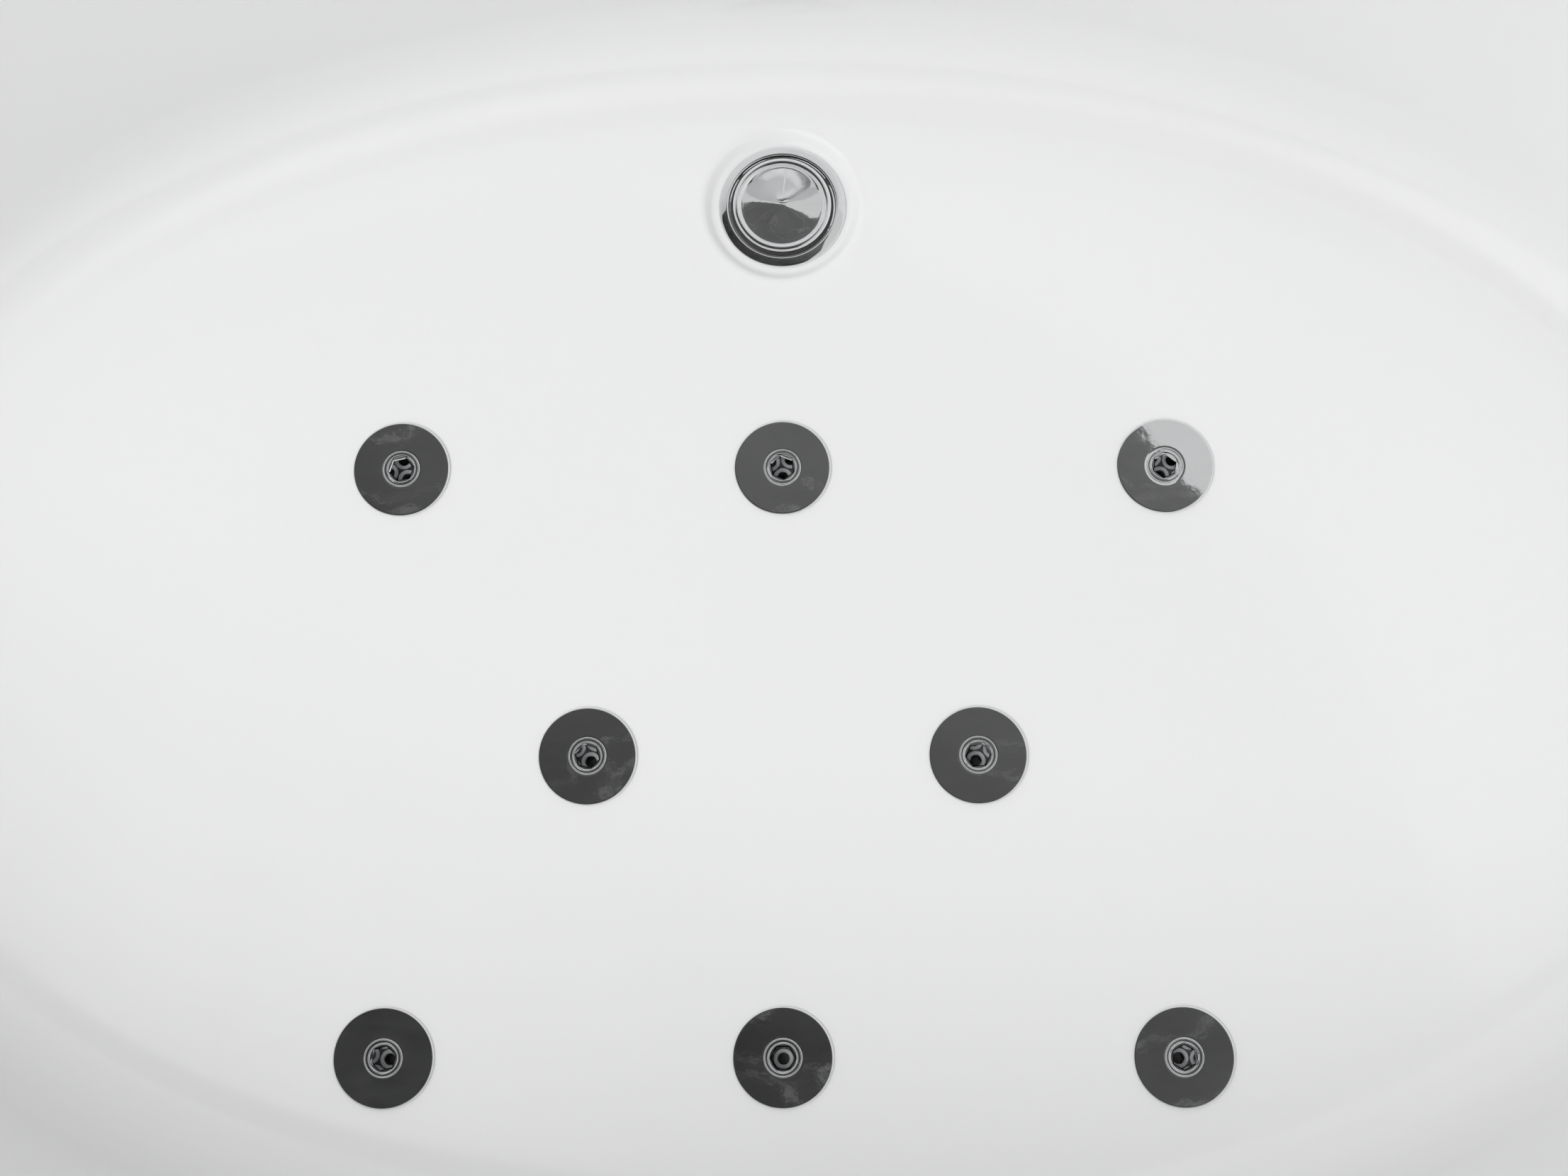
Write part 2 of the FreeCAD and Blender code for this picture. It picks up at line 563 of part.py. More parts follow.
insert_disc = cylinder("insert_disc", "jet_cover_radius", "jet_cover_rise")
insert_shank = prism("insert_shank", THREAD_SIDES, "jet_shank_radius", "jet_shank_length + jet_cover_rise / 2", 0, 0,
                     "-jet_shank_length")
socket = hexagon("jet_socket", "jet_hex_corner", "2 * jet_shank_length", 0, 0, "-1.5 * jet_shank_length")
jet_insert = cut("jet_insert", join("insert_blank", insert_disc, insert_shank), socket)
named("jet_inserts", copies("jet_inserts_set", jet_insert, [(x, y, "floor_height") for x, y in JETS], SOCKET_TURNS))

body_block = hexagon("body_block", "jet_body_corner", f"{BOARD_TOP} - {BODY_FOOT}")
body_bore = prism("body_bore", THREAD_SIDES, f"(jet_shank_radius + fit_gap) / {FLAT_SHARE}", "jet_shank_length",
                  0, 0, "seat_height")
air_hole = hexagon("air_hole", "seat_bore", "3 * seat_height", 0, 0, "-seat_height")
jet_body = cut("jet_body", body_block, body_bore, air_hole)
named("jet_bodies", copies("jet_bodies_set", jet_body, [(x, y, BODY_FOOT) for x, y in JETS]))

# ---- air ducts under the rows of jets, manifold, and the blower on its shelf at the right-hand end ----
BLOWER_X = f"({SKIRT_LENGTH} - blower_inset)"
BLOWER_FACE = f"({BLOWER_X} - blower_length / 2)"
MANIFOLD_X = f"({BLOWER_FACE} - feed_length - manifold_size / 2)"
DUCT_END = f"({MANIFOLD_X} - manifold_size / 2)"
DUCT_HEIGHT = f"({BODY_FOOT} - {RAIL_FOOT})"
AIR_LEVEL = f"({RAIL_FOOT} + {DUCT_HEIGHT} / 2)"
for row, y, steps in ROWS:
    start = f"({steps[0]} * jet_pitch - duct_width / 2)"
    middle = f"({start} + {DUCT_END}) / 2"
    length = f"({DUCT_END} - {start})"
    outer = box(f"duct_{row}_outer", length, "duct_width", DUCT_HEIGHT, middle, y, RAIL_FOOT)
    inner = box(f"duct_{row}_inner", length, "duct_width - 2 * duct_wall", f"{DUCT_HEIGHT} - 2 * duct_wall",
                f"{middle} + duct_wall", y, f"{RAIL_FOOT} + duct_wall")
    mouths = [box(f"duct_{row}_mouth_{n}", "2 * seat_bore", "2 * seat_bore", "2 * duct_wall", f"{step} * jet_pitch",
                  y, f"{BODY_FOOT} - duct_wall - 1") for n, step in enumerate(steps, start=1)]
    named(f"air_duct_{row}_row", cut(f"duct_{row}", outer, inner, *mouths))

MANIFOLD_LENGTH = f"({FAR_ROW} - {NEAR_ROW} + duct_width + 2 * manifold_wall)"
MANIFOLD_FOOT = f"({AIR_LEVEL} - manifold_size / 2)"
SHELF_TOP = CROSSBAR_FOOT
manifold_block = box("manifold_block", "manifold_size", MANIFOLD_LENGTH, "manifold_size", MANIFOLD_X,
                     MIDDLE_ROW, MANIFOLD_FOOT)
manifold_room = box("manifold_room", "manifold_size - 2 * manifold_wall", f"{MANIFOLD_LENGTH} - 2 * manifold_wall",
                    "manifold_size - 2 * manifold_wall", MANIFOLD_X, MIDDLE_ROW,
                    f"{MANIFOLD_FOOT} + manifold_wall")
manifold_feet = [box(f"manifold_foot_{n}", "manifold_size", "manifold_size", f"{MANIFOLD_FOOT} - {SHELF_TOP} + 1",
                     MANIFOLD_X, f"{MIDDLE_ROW} + {side} * ({FAR_ROW} - {NEAR_ROW}) / 6", SHELF_TOP)
                 for n, side in enumerate((-1, 1), start=1)]
manifold_windows = [box(f"manifold_window_{row}", "3 * manifold_wall", "duct_width - 2 * duct_wall",
                        f"{DUCT_HEIGHT} - 2 * duct_wall", DUCT_END, y, f"{RAIL_FOOT} + duct_wall")
                    for row, y, _ in ROWS]
manifold_inlet = box("manifold_inlet", "3 * manifold_wall", "feed_mouth", "feed_mouth",
                     f"{MANIFOLD_X} + manifold_size / 2", MIDDLE_ROW, f"{AIR_LEVEL} - feed_mouth / 2")
named("air_manifold", cut("manifold", join("manifold_whole", manifold_block, *manifold_feet), manifold_room,
                          manifold_inlet, *manifold_windows))

FEED_MIDDLE = f"({BLOWER_FACE} - feed_length / 2)"
feed_outer = box("feed_outer", "feed_length", "feed_mouth + 2 * duct_wall", "feed_mouth + 2 * duct_wall", FEED_MIDDLE,
                 MIDDLE_ROW, f"{AIR_LEVEL} - feed_mouth / 2 - duct_wall")
feed_inner = box("feed_inner", "feed_length + 2", "feed_mouth", "feed_mouth", FEED_MIDDLE, MIDDLE_ROW,
                 f"{AIR_LEVEL} - feed_mouth / 2")
named("air_feed_duct", cut("feed_duct", feed_outer, feed_inner))

SHELF_START = f"({CROSSBAR_X} - bar_size / 2)"
SHELF_END = f"({BLOWER_X} + shelf_overhang)"
SHELF_MIDDLE = f"({SHELF_START} + {SHELF_END}) / 2"
shelf_plate = box("shelf_plate", f"{SHELF_END} - {SHELF_START}", "2 * shelf_half_width", "shelf_height",
                  SHELF_MIDDLE, MIDDLE_ROW, f"{SHELF_TOP} - shelf_height")
shelf_folds = [box(f"shelf_fold_{n}", f"{SHELF_END} - {SHELF_START}", "shelf_height", "shelf_fold", SHELF_MIDDLE,
                   f"{MIDDLE_ROW} + {side} * (shelf_half_width - shelf_height / 2)", f"{SHELF_TOP} - shelf_fold")
               for n, side in enumerate((-1, 1), start=1)]
shelf_intake = box("shelf_intake", "intake_size", "intake_size", "3 * shelf_height", BLOWER_X,
                   MIDDLE_ROW, f"{SHELF_TOP} - 2 * shelf_height")
shelf_window = box("shelf_window", "3 * gland_corner", "3 * gland_corner", "3 * shelf_height", BLOWER_X,
                   f"{MIDDLE_ROW} + gland_offset", f"{SHELF_TOP} - 2 * shelf_height")
named("blower_shelf", cut("shelf", join("folded_shelf", shelf_plate, *shelf_folds), shelf_intake, shelf_window))

MOUNT_X = "(blower_length / 2 - mount_inset)"
MOUNT_Y = "(blower_width / 2 - mount_inset)"
mount = box("rubber_mount", "mount_size", "mount_size", "mount_height")
mount_set = copies("mount_set", mount, [(f"{BLOWER_X} + {a} * {MOUNT_X} - mount_size / 2",
                                         f"{MIDDLE_ROW} + {b} * {MOUNT_Y} - mount_size / 2", SHELF_TOP)
                                        for a, b in ((-1, -1), (-1, 1), (1, -1), (1, 1))])
named("blower_mounts", mount_set)

BASE_FOOT = f"({SHELF_TOP} + mount_height)"
CASE_FOOT = f"({BASE_FOOT} + blower_base_height)"
CASE_TOP = f"({CASE_FOOT} + blower_height)"
base_plate = box("base_plate", "blower_length", "blower_width", "blower_base_height", BLOWER_X, MIDDLE_ROW,
                 BASE_FOOT)
base_intake = box("base_intake", "intake_size", "intake_size", "3 * blower_base_height", BLOWER_X,
                  MIDDLE_ROW, f"{BASE_FOOT} - blower_base_height")
# The cable gland points down through the base plate, over its own window in the shelf.
GLAND_Y = f"({MIDDLE_ROW} + gland_offset)"
GLAND_NECK = "((gland_corner + gland_bore) / 2)"
gland_opening = prism("gland_opening", THREAD_SIDES, f"({GLAND_NECK} + thread_gap) / {FLAT_SHARE}",
                      "3 * blower_base_height", BLOWER_X, GLAND_Y, f"{BASE_FOOT} - blower_base_height")
named("blower_base", cut("blower_base_plate", base_plate, base_intake, gland_opening))
gland_nut = hexagon("gland_nut", "gland_corner", "gland_reach", BLOWER_X, GLAND_Y, f"{BASE_FOOT} - gland_reach")
gland_neck = prism("gland_neck", THREAD_SIDES, GLAND_NECK, "2 * blower_base_height + 1", BLOWER_X, GLAND_Y,
                   f"{BASE_FOOT} - 1")
gland_hole = cylinder("gland_hole", "gland_bore", "2 * gland_reach + 2 * blower_base_height", BLOWER_X, GLAND_Y,
                      f"{BASE_FOOT} - gland_reach - 1")
named("blower_cable_gland", cut("gland", join("gland_whole", gland_nut, gland_neck), gland_hole))

case_block = box("case_block", "blower_length", "blower_width", "blower_height", BLOWER_X, MIDDLE_ROW,
                 CASE_FOOT)
case_room = box("case_room", "blower_length - 2 * blower_wall", "blower_width - 2 * blower_wall",
                "blower_height", BLOWER_X, MIDDLE_ROW, f"{CASE_FOOT} - blower_wall")
case_outlet = box("case_outlet", "3 * blower_wall", "feed_mouth", "feed_mouth", BLOWER_FACE, MIDDLE_ROW,
                  f"{AIR_LEVEL} - feed_mouth / 2")
named("blower_case", cut("blower_case_shell", case_block, case_room, case_outlet))

MOTOR_FOOT = f"({CASE_TOP} - blower_wall - motor_height)"
IMPELLER_FOOT = f"({CASE_FOOT} + impeller_rise)"
DISC_FOOT = f"({IMPELLER_FOOT} + impeller_height)"
motor_can = box("motor_can", "motor_size", "motor_size", "motor_height", BLOWER_X, MIDDLE_ROW, MOTOR_FOOT)
motor_shaft = cylinder("motor_shaft", "shaft_radius", f"{MOTOR_FOOT} + 1 - {IMPELLER_FOOT}", BLOWER_X,
                       MIDDLE_ROW, IMPELLER_FOOT)
named("blower_motor", join("motor", motor_can, motor_shaft))

# The impeller: a disc on the motor shaft, with straight blades hanging from it.
BLADES = 6
impeller_disc = cylinder("impeller_disc", "impeller_radius", "impeller_plate", 0, 0, "impeller_height")
impeller_hole = cylinder("impeller_hole", "shaft_radius + fit_gap", "4 * impeller_height", 0, 0,
                         "-impeller_height")
blades = []
for n in range(BLADES):
    angle = 360 * n / BLADES
    blade = bind(doc.addObject("Part::Box", f"blade_{n + 1}"), Length="impeller_radius - blade_start - 6",
                 Width="impeller_plate", Height="impeller_height + impeller_plate / 2")
    blade.Placement = FreeCAD.Placement(Vector(), FreeCAD.Rotation(Vector(0, 0, 1), angle + 35))
    blades.append(place(blade, f"blade_start * cos({angle})", f"blade_start * sin({angle})", 0))
impeller = cut("impeller", join("impeller_whole", impeller_disc, *blades), impeller_hole)
named("blower_impeller", place(impeller, BLOWER_X, MIDDLE_ROW, IMPELLER_FOOT))

# ---- waste: flange in the floor, plug with its stem, body with its outlet and side arm under the tub ----
SUMP_FLOOR = "(floor_height - sump_depth)"
waste_ring = turned_body("waste_ring", [
    ("0", "0"),
    ("waste_flange_radius", "0"),
    ("waste_flange_radius", "waste_flange_height"),
    ("waste_mouth", "waste_flange_height"),
    ("waste_mouth", "waste_flange_height / 2"),
    ("0", "waste_flange_height / 2"),
], 0, WASTE_Y, SUMP_FLOOR)
waste_tail = prism("waste_tail", THREAD_SIDES, "waste_tail_radius", "waste_tail_length + waste_flange_height / 4",
                   0, WASTE_Y, f"{SUMP_FLOOR} - waste_tail_length")
waste_way = cylinder("waste_way", "waste_bore", "2 * waste_tail_length", 0, WASTE_Y,
                     f"{SUMP_FLOOR} - 1.5 * waste_tail_length")
waste_tube = cut("waste_tube", join("flange_and_tail", waste_ring, waste_tail), waste_way)
GUIDE_FOOT = f"({SUMP_FLOOR} - guide_drop)"
guide_bar = box("guide_bar", "4 * plug_stem_radius", "2 * waste_bore + 1", "guide_height", 0,
                WASTE_Y, GUIDE_FOOT)
guide_bore = cylinder("guide_bore", "plug_stem_radius + fit_gap", "3 * guide_height", 0, WASTE_Y,
                      f"{GUIDE_FOOT} - guide_height")
named("waste_flange", cut("waste_flange_whole", join("flange_and_guide", waste_tube, guide_bar), guide_bore))

plug = turned_body("plug", [
    ("0", "-plug_stem_length"),
    ("plug_stem_radius", "-plug_stem_length"),
    ("plug_stem_radius", "0"),
    ("plug_radius", "0"),
    ("plug_radius", "plug_height"),
    ("0", "plug_height"),
], 0, WASTE_Y, f"{SUMP_FLOOR} + waste_flange_height / 2 + seat_gap")
named("waste_plug", plug)

WASTE_TOP = f"({SUMP_FLOOR} - shell_wall)"
WASTE_FOOT = f"({WASTE_TOP} - waste_body_height)"
HEAD_MIDDLE = f"({HEAD_Y} + head_depth / 2)"
ARM_END = f"({HEAD_MIDDLE} + arm_height / 2)"
POT_BORE = "(waste_tail_radius + thread_gap)"
pot = box("pot", "waste_body_size", "waste_body_size", "waste_body_height", 0, WASTE_Y, WASTE_FOOT)
arm = box("arm", "arm_width", f"{ARM_END} - {WASTE_Y}", "arm_height", 0, f"({WASTE_Y} + {ARM_END}) / 2",
          WASTE_FOOT)
outlet = cylinder("outlet", "drain_radius", "drain_length + waste_wall", 0, WASTE_Y,
                  f"{WASTE_FOOT} - drain_length")
pot_bore = cylinder("pot_bore", POT_BORE, "waste_body_height", 0, WASTE_Y, f"{WASTE_FOOT} + waste_wall")
arm_room = box("arm_room", "arm_width - 2 * waste_wall", f"{ARM_END} - {WASTE_Y} - waste_wall",
               "arm_height - 2 * waste_wall", 0, f"({WASTE_Y} + {ARM_END} - waste_wall) / 2",
               f"{WASTE_FOOT} + waste_wall")
arm_mouth = box("arm_mouth", "feed_mouth", "feed_mouth", "2 * waste_wall", 0, HEAD_MIDDLE,
                f"{WASTE_FOOT} + arm_height - waste_wall - 1")
outlet_bore = cylinder("outlet_bore", "drain_radius - waste_wall", "drain_length + 2 * waste_wall", 0,
                       WASTE_Y, f"{WASTE_FOOT} - drain_length - 1")
named("waste_body", cut("waste_body_whole", join("pot_and_arm", pot, arm, outlet), pot_bore, arm_room, arm_mouth,
                        outlet_bore))

# ---- overflow: turning cover inside, head outside, pipe and plug cable down to the waste ----
tail_y, tail_z = off_wall("0", "-overflow_tail_reach")
head_tail = prism("head_tail", THREAD_SIDES, "overflow_tail_radius", "overflow_tail_reach + head_reach", 0,
                  tail_y, tail_z, OUT_OF_TUB)
flange_y, flange_z = off_wall("0", "shell_wall + seat_gap")
head_flange = cylinder("head_flange", "head_radius", "head_flange_height", 0, flange_y, flange_z, OUT_OF_TUB)
HEAD_FOOT = f"({OVERFLOW_Z} - head_size / 2)"
head_box = box("head_box", "head_size", "head_depth", "head_size", 0, HEAD_MIDDLE, HEAD_FOOT)
head_room = box("head_room", "head_size - 2 * waste_wall", "head_depth - 2 * waste_wall",
                "head_size - 2 * waste_wall", 0, HEAD_MIDDLE, f"{HEAD_FOOT} + waste_wall")
head_mouth = box("head_mouth", "feed_mouth", "feed_mouth", "3 * waste_wall", 0, HEAD_MIDDLE,
                 f"{HEAD_FOOT} - waste_wall")
shaft_bore = cylinder("shaft_bore", "knob_shaft_radius + fit_gap", "overflow_tail_reach + knob_shaft_length + 2", 0,
                      *off_wall("0", "-overflow_tail_reach - 1"), OUT_OF_TUB)
slots = []
for n, side in enumerate((-1, 1), start=1):
    slot = box(f"head_slot_{n}", "slot_width", "slot_height", "overflow_tail_reach + head_reach + 2")
    slots.append(place(slot, f"{side} * slot_offset - slot_width / 2",
                       *off_wall("-slot_height / 2", "-overflow_tail_reach - 1"), OUT_OF_TUB))
named("overflow_head", cut("head", join("head_whole", head_tail, head_flange, head_box), head_room, head_mouth,
                           shaft_bore, *slots))

knob_y, knob_z = off_wall("0", "-overflow_tail_reach - knob_gap")
knob_cap = turned_body("knob_cap", [
    ("0", "-knob_gap - overflow_tail_reach - knob_shaft_length"),
    ("knob_shaft_radius", "-knob_gap - overflow_tail_reach - knob_shaft_length"),
    ("knob_shaft_radius", "0"),
    ("knob_radius", "0"),
    ("knob_radius", "knob_height"),
    ("0", "knob_height"),
])
grip = box("knob_grip", "knob_grip_width", "1.5 * knob_radius", "knob_grip_height + 1", 0, 0, "knob_height - 1")
named("overflow_knob", place(join("knob", knob_cap, grip), 0, knob_y, knob_z, INTO_TUB))

PIPE_FOOT = f"({WASTE_FOOT} + arm_height)"
PIPE_LENGTH = f"({HEAD_FOOT} - {PIPE_FOOT})"
overflow_outer = cylinder("overflow_outer", "pipe_radius", PIPE_LENGTH, 0, HEAD_MIDDLE, PIPE_FOOT)
overflow_inner = cylinder("overflow_inner", "pipe_bore", f"{PIPE_LENGTH} + 2", 0, HEAD_MIDDLE, f"{PIPE_FOOT} - 1")
named("overflow_pipe", cut("overflow_tube", overflow_outer, overflow_inner))
named("plug_cable", cylinder("plug_cable_sheath", "cable_radius", PIPE_LENGTH, "cable_offset", HEAD_MIDDLE,
                             PIPE_FOOT))

# ---- air button on the rim, with its bellows under the rim and a thin tube to the blower ----
bezel_ring = cylinder("bezel_ring", "bezel_radius", "bezel_height", BUTTON_X, BUTTON_Y, RIM_TOP)
bezel_tail = prism("bezel_tail", THREAD_SIDES, "bezel_tail_radius", "bezel_tail_length + bezel_height / 2",
                   BUTTON_X, BUTTON_Y, f"{RIM_TOP} - bezel_tail_length")
bezel_bore = cylinder("bezel_bore", "button_radius + seat_gap", "2 * bezel_tail_length", BUTTON_X, BUTTON_Y,
                      f"{RIM_TOP} - 1.5 * bezel_tail_length")
bezel = cut("bezel", join("bezel_whole", bezel_ring, bezel_tail), bezel_bore)
named("button_bezel", bezel)
button = cylinder("button", "button_radius", "button_depth", BUTTON_X, BUTTON_Y,
                  f"{RIM_TOP} + button_rise - button_depth")
named("air_button", button)
BELLOWS_FOOT = f"({RIM_TOP} - bezel_tail_length - bellows_height)"
named("button_bellows", hexagon("bellows", "bezel_tail_radius", "bellows_height", BUTTON_X, BUTTON_Y, BELLOWS_FOOT))
named("button_air_tube", cylinder("thin_tube", "tube_radius", f"{BELLOWS_FOOT} - {CASE_TOP}", BUTTON_X, BUTTON_Y,
                                  CASE_TOP))

# ---- check every object, then write one STEP file for each piece ----
doc.recompute()
for item in doc.Objects:
    if "Invalid" in item.State or "Error" in item.State:
        raise RuntimeError(f"{item.Name} failed: {item.State}")
os.makedirs("parts", exist_ok=True)
for item in pieces:
    if item.Shape.isNull() or not item.Shape.isValid():
        raise RuntimeError(f"{item.Label} has no valid shape")
    item.Shape.exportStep(f"parts/{item.Label}.step")
print(len(pieces), "pieces written")
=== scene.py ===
import math

import bmesh
import bpy
from mathutils import Matrix, Vector


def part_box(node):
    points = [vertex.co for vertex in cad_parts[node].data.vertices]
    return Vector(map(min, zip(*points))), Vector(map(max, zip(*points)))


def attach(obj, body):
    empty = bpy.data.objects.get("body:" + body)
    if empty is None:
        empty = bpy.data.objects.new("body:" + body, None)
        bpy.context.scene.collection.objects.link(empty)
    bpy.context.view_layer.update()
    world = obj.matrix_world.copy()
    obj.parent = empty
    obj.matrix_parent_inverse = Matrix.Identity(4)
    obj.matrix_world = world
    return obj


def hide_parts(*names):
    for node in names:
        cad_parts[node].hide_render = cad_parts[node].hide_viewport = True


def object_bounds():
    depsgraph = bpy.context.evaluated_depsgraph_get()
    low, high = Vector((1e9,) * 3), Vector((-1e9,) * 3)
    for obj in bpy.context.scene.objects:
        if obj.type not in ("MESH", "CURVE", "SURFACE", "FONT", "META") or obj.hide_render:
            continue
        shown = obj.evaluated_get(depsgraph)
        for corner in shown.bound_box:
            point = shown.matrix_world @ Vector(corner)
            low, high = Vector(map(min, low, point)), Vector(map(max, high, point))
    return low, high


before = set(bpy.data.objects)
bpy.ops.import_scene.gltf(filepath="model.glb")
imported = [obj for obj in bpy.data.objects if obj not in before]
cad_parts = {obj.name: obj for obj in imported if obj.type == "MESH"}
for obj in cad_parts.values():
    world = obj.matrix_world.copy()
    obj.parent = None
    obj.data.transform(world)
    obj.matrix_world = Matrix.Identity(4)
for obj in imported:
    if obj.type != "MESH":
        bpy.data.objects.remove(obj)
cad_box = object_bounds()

# ---- acrylic shell ----
# One sheet of white acrylic, heated and drawn down into a mould, then stiffened with glass fibre
# on its back. The floor turns up into the wall through a wide round; the ends lean back further
# than the sides, and the rim is turned down into a lip that hides the top of the skirt.
# Heights stand above the ground. LONG and WIDE are half lengths and half widths.
FLOOR, UNDER, RIM_TOP = 0.150, 0.144, 0.590
FLAT_LONG, FLAT_WIDE, FLOOR_ROUND, SHELL = 0.473, 0.277, 0.055, 0.006
END_LEAN, SIDE_LEAN = math.radians(34), math.radians(12)
RIM_ROUND, RIM_FLAT, RIM_SOFT, LIP_DROP, LIP_WALL = 0.010, 0.065, 0.005, 0.034, 0.006
FLOOR_SQUARENESS = 2.1  # 2 would be a plain ellipse
AROUND = 288  # points round the shell


def reach(flat, lean, turn, height):
    """Half axis of a wall at a height above its own floor: a round, then a straight lean."""
    knee = turn * (1 - math.sin(lean))
    if height < knee:
        return flat + math.sqrt(max(turn ** 2 - (turn - height) ** 2, 0))
    return flat + turn * math.cos(lean) + (height - knee) * math.tan(lean)


def end_arc(long, wide):
    """Radius of a four-centred oval's end arcs, and how far out their middles lie."""
    across = math.hypot(long, wide)
    radius = (across - (long - wide)) / 2 * across / long
    return radius, long - radius


def oval_radius(long, wide, angle):
    """Distance from the middle to a four-centred oval: two end arcs and two side arcs."""
    end_radius, end_middle = end_arc(long, wide)
    side_middle = end_middle * long / wide
    x, y = abs(math.cos(angle)), abs(math.sin(angle))
    apart = math.hypot(end_middle, side_middle)
    meeting = math.atan2(side_middle * end_radius / apart, end_middle + end_middle * end_radius / apart)
    if math.atan2(y, x) < meeting:
        return end_middle * x + math.sqrt(end_radius ** 2 - (end_middle * y) ** 2)
    side_radius = wide + side_middle
    return -side_middle * y + math.sqrt(side_radius ** 2 - (side_middle * x) ** 2)


def floor_radius(long, wide, angle):
    """Distance from the middle to the softer outline that the floor has."""
    x, y = abs(math.cos(angle)) / long, abs(math.sin(angle)) / wide
    return (x ** FLOOR_SQUARENESS + y ** FLOOR_SQUARENESS) ** (-1 / FLOOR_SQUARENESS)


def ring(long, wide, level, share):
    """One ring of points: the floor's outline at share 0, the rim's oval at share 1."""
    points = []
    for n in range(AROUND):
        angle = 2 * math.pi * n / AROUND
        radius = (1 - share) * floor_radius(long, wide, angle) + share * oval_radius(long, wide, angle)
        points.append((radius * math.cos(angle), radius * math.sin(angle), level))
    return points


def soft(x):
    """Eased step from 0 to 1."""
    x = min(max(x, 0), 1)
    return x * x * (3 - 2 * x)


def closed_mesh(name, rings, closed=False):
    """Rings of points joined into a surface; a ring of one point closes an end."""
    mesh = bmesh.new()
    rows = [[mesh.verts.new(p) for p in points] for points in rings]
    if closed:
        rows.append(rows[0])
    for low, high in zip(rows, rows[1:]):
        for n in range(max(len(low), len(high))):
            corners = (low[n % len(low)], low[(n + 1) % len(low)],
                       high[(n + 1) % len(high)], high[n % len(high)])
            mesh.faces.new(list(dict.fromkeys(corners)))
    bmesh.ops.recalc_face_normals(mesh, faces=mesh.faces)
    data = bpy.data.meshes.new(name)
    mesh.to_mesh(data)
    mesh.free()
    piece = bpy.data.objects.new(name, data)
    bpy.context.collection.objects.link(piece)
    return piece


def smooth(piece, angle=32):
    """Smooth shading, with every fold sharper than the angle kept crisp."""
    mesh = bmesh.new()
    mesh.from_mesh(piece.data)
    for edge in mesh.edges:
        edge.smooth = len(edge.link_faces) == 2 and edge.calc_face_angle(0) < math.radians(angle)
    for face in mesh.faces:
        face.smooth = True
    mesh.to_mesh(piece.data)
    mesh.free()
    return piece


def merge(piece, tool, operation):
    """Cuts or joins another closed mesh, and removes that mesh."""
    modifier = piece.modifiers.new(operation, "BOOLEAN")
    modifier.operation = operation
    modifier.solver = "EXACT"
    modifier.object = tool
    bpy.context.view_layer.update()
    result = bpy.data.meshes.new_from_object(piece.evaluated_get(bpy.context.evaluated_depsgraph_get()))
    piece.modifiers.clear()
    piece.data = result
    bpy.data.objects.remove(tool)
    return piece


ON_AXIS = 1e-7


def turned(name, outline, segments=96, place=Matrix.Identity(4)):
    """A closed piece turned about Z from a closed outline of radius and height."""
    angles = [2 * math.pi * n / segments for n in range(segments)]
    rings = [[(r * math.cos(angle), r * math.sin(angle), z) for angle in angles] if r > ON_AXIS else [(0, 0, z)]
             for r, z in outline]
    piece = closed_mesh(name, rings, closed=outline[0][0] > ON_AXIS)
    piece.data.transform(place)
    return piece


def rod(name, radius, low, high, segments=96, place=Matrix.Identity(4)):
    """A round bar about Z, or a hexagonal one with six segments."""
    return turned(name, [(0, low), (radius, low), (radius, high), (0, high)], segments, place)


def arc(middle_r, middle_z, radius, start, stop, steps):
    """Points on an arc of an outline, angles in degrees."""
    angles = [math.radians(start + (stop - start) * n / steps) for n in range(steps + 1)]
    return [(middle_r + radius * math.cos(angle), middle_z + radius * math.sin(angle)) for angle in angles]


wall_top = RIM_TOP - FLOOR - RIM_ROUND
edge_long = reach(FLAT_LONG, END_LEAN, FLOOR_ROUND, wall_top) + RIM_ROUND
edge_wide = reach(FLAT_WIDE, SIDE_LEAN, FLOOR_ROUND, wall_top) + RIM_ROUND
rim_long, rim_wide = cad_box[1][0], cad_box[1][1]

# Rings from the middle of the floor, up the wall, over the rim and back along the underside.
FLOOR_SHARES = (0.25, 0.5, 0.75, 0.9, 0.97)
ROUND_STEPS, WALL_STEPS, RIM_STEPS, SOFT_STEPS, LIP_STEPS, BACK_STEPS = 20, 22, 8, 6, 4, 14
ROUND_STEP, BACK_TURN, BACK_STEP = 4, 56, 8  # degrees
rings = [[(0, 0, FLOOR)]]
for share in FLOOR_SHARES:
    rings.append(ring(FLAT_LONG * share, FLAT_WIDE * share, FLOOR, 0))
heights = [FLOOR_ROUND * (1 - math.cos(math.radians(ROUND_STEP * n))) for n in range(ROUND_STEPS)]
heights += [heights[-1] + (wall_top - heights[-1]) * n / WALL_STEPS for n in range(1, WALL_STEPS + 1)]
for height in heights:
    rings.append(ring(reach(FLAT_LONG, END_LEAN, FLOOR_ROUND, height),
                      reach(FLAT_WIDE, SIDE_LEAN, FLOOR_ROUND, height),
                      FLOOR + height, soft(height / wall_top)))
for n in range(1, RIM_STEPS + 1):
    turn = math.radians(90 * n / RIM_STEPS)
    rings.append(ring(edge_long - RIM_ROUND * math.cos(turn), edge_wide - RIM_ROUND * math.cos(turn),
                      RIM_TOP - RIM_ROUND + RIM_ROUND * math.sin(turn), 1))
rings.append(ring(edge_long + RIM_FLAT / 2, edge_wide + RIM_FLAT / 2, RIM_TOP, 1))
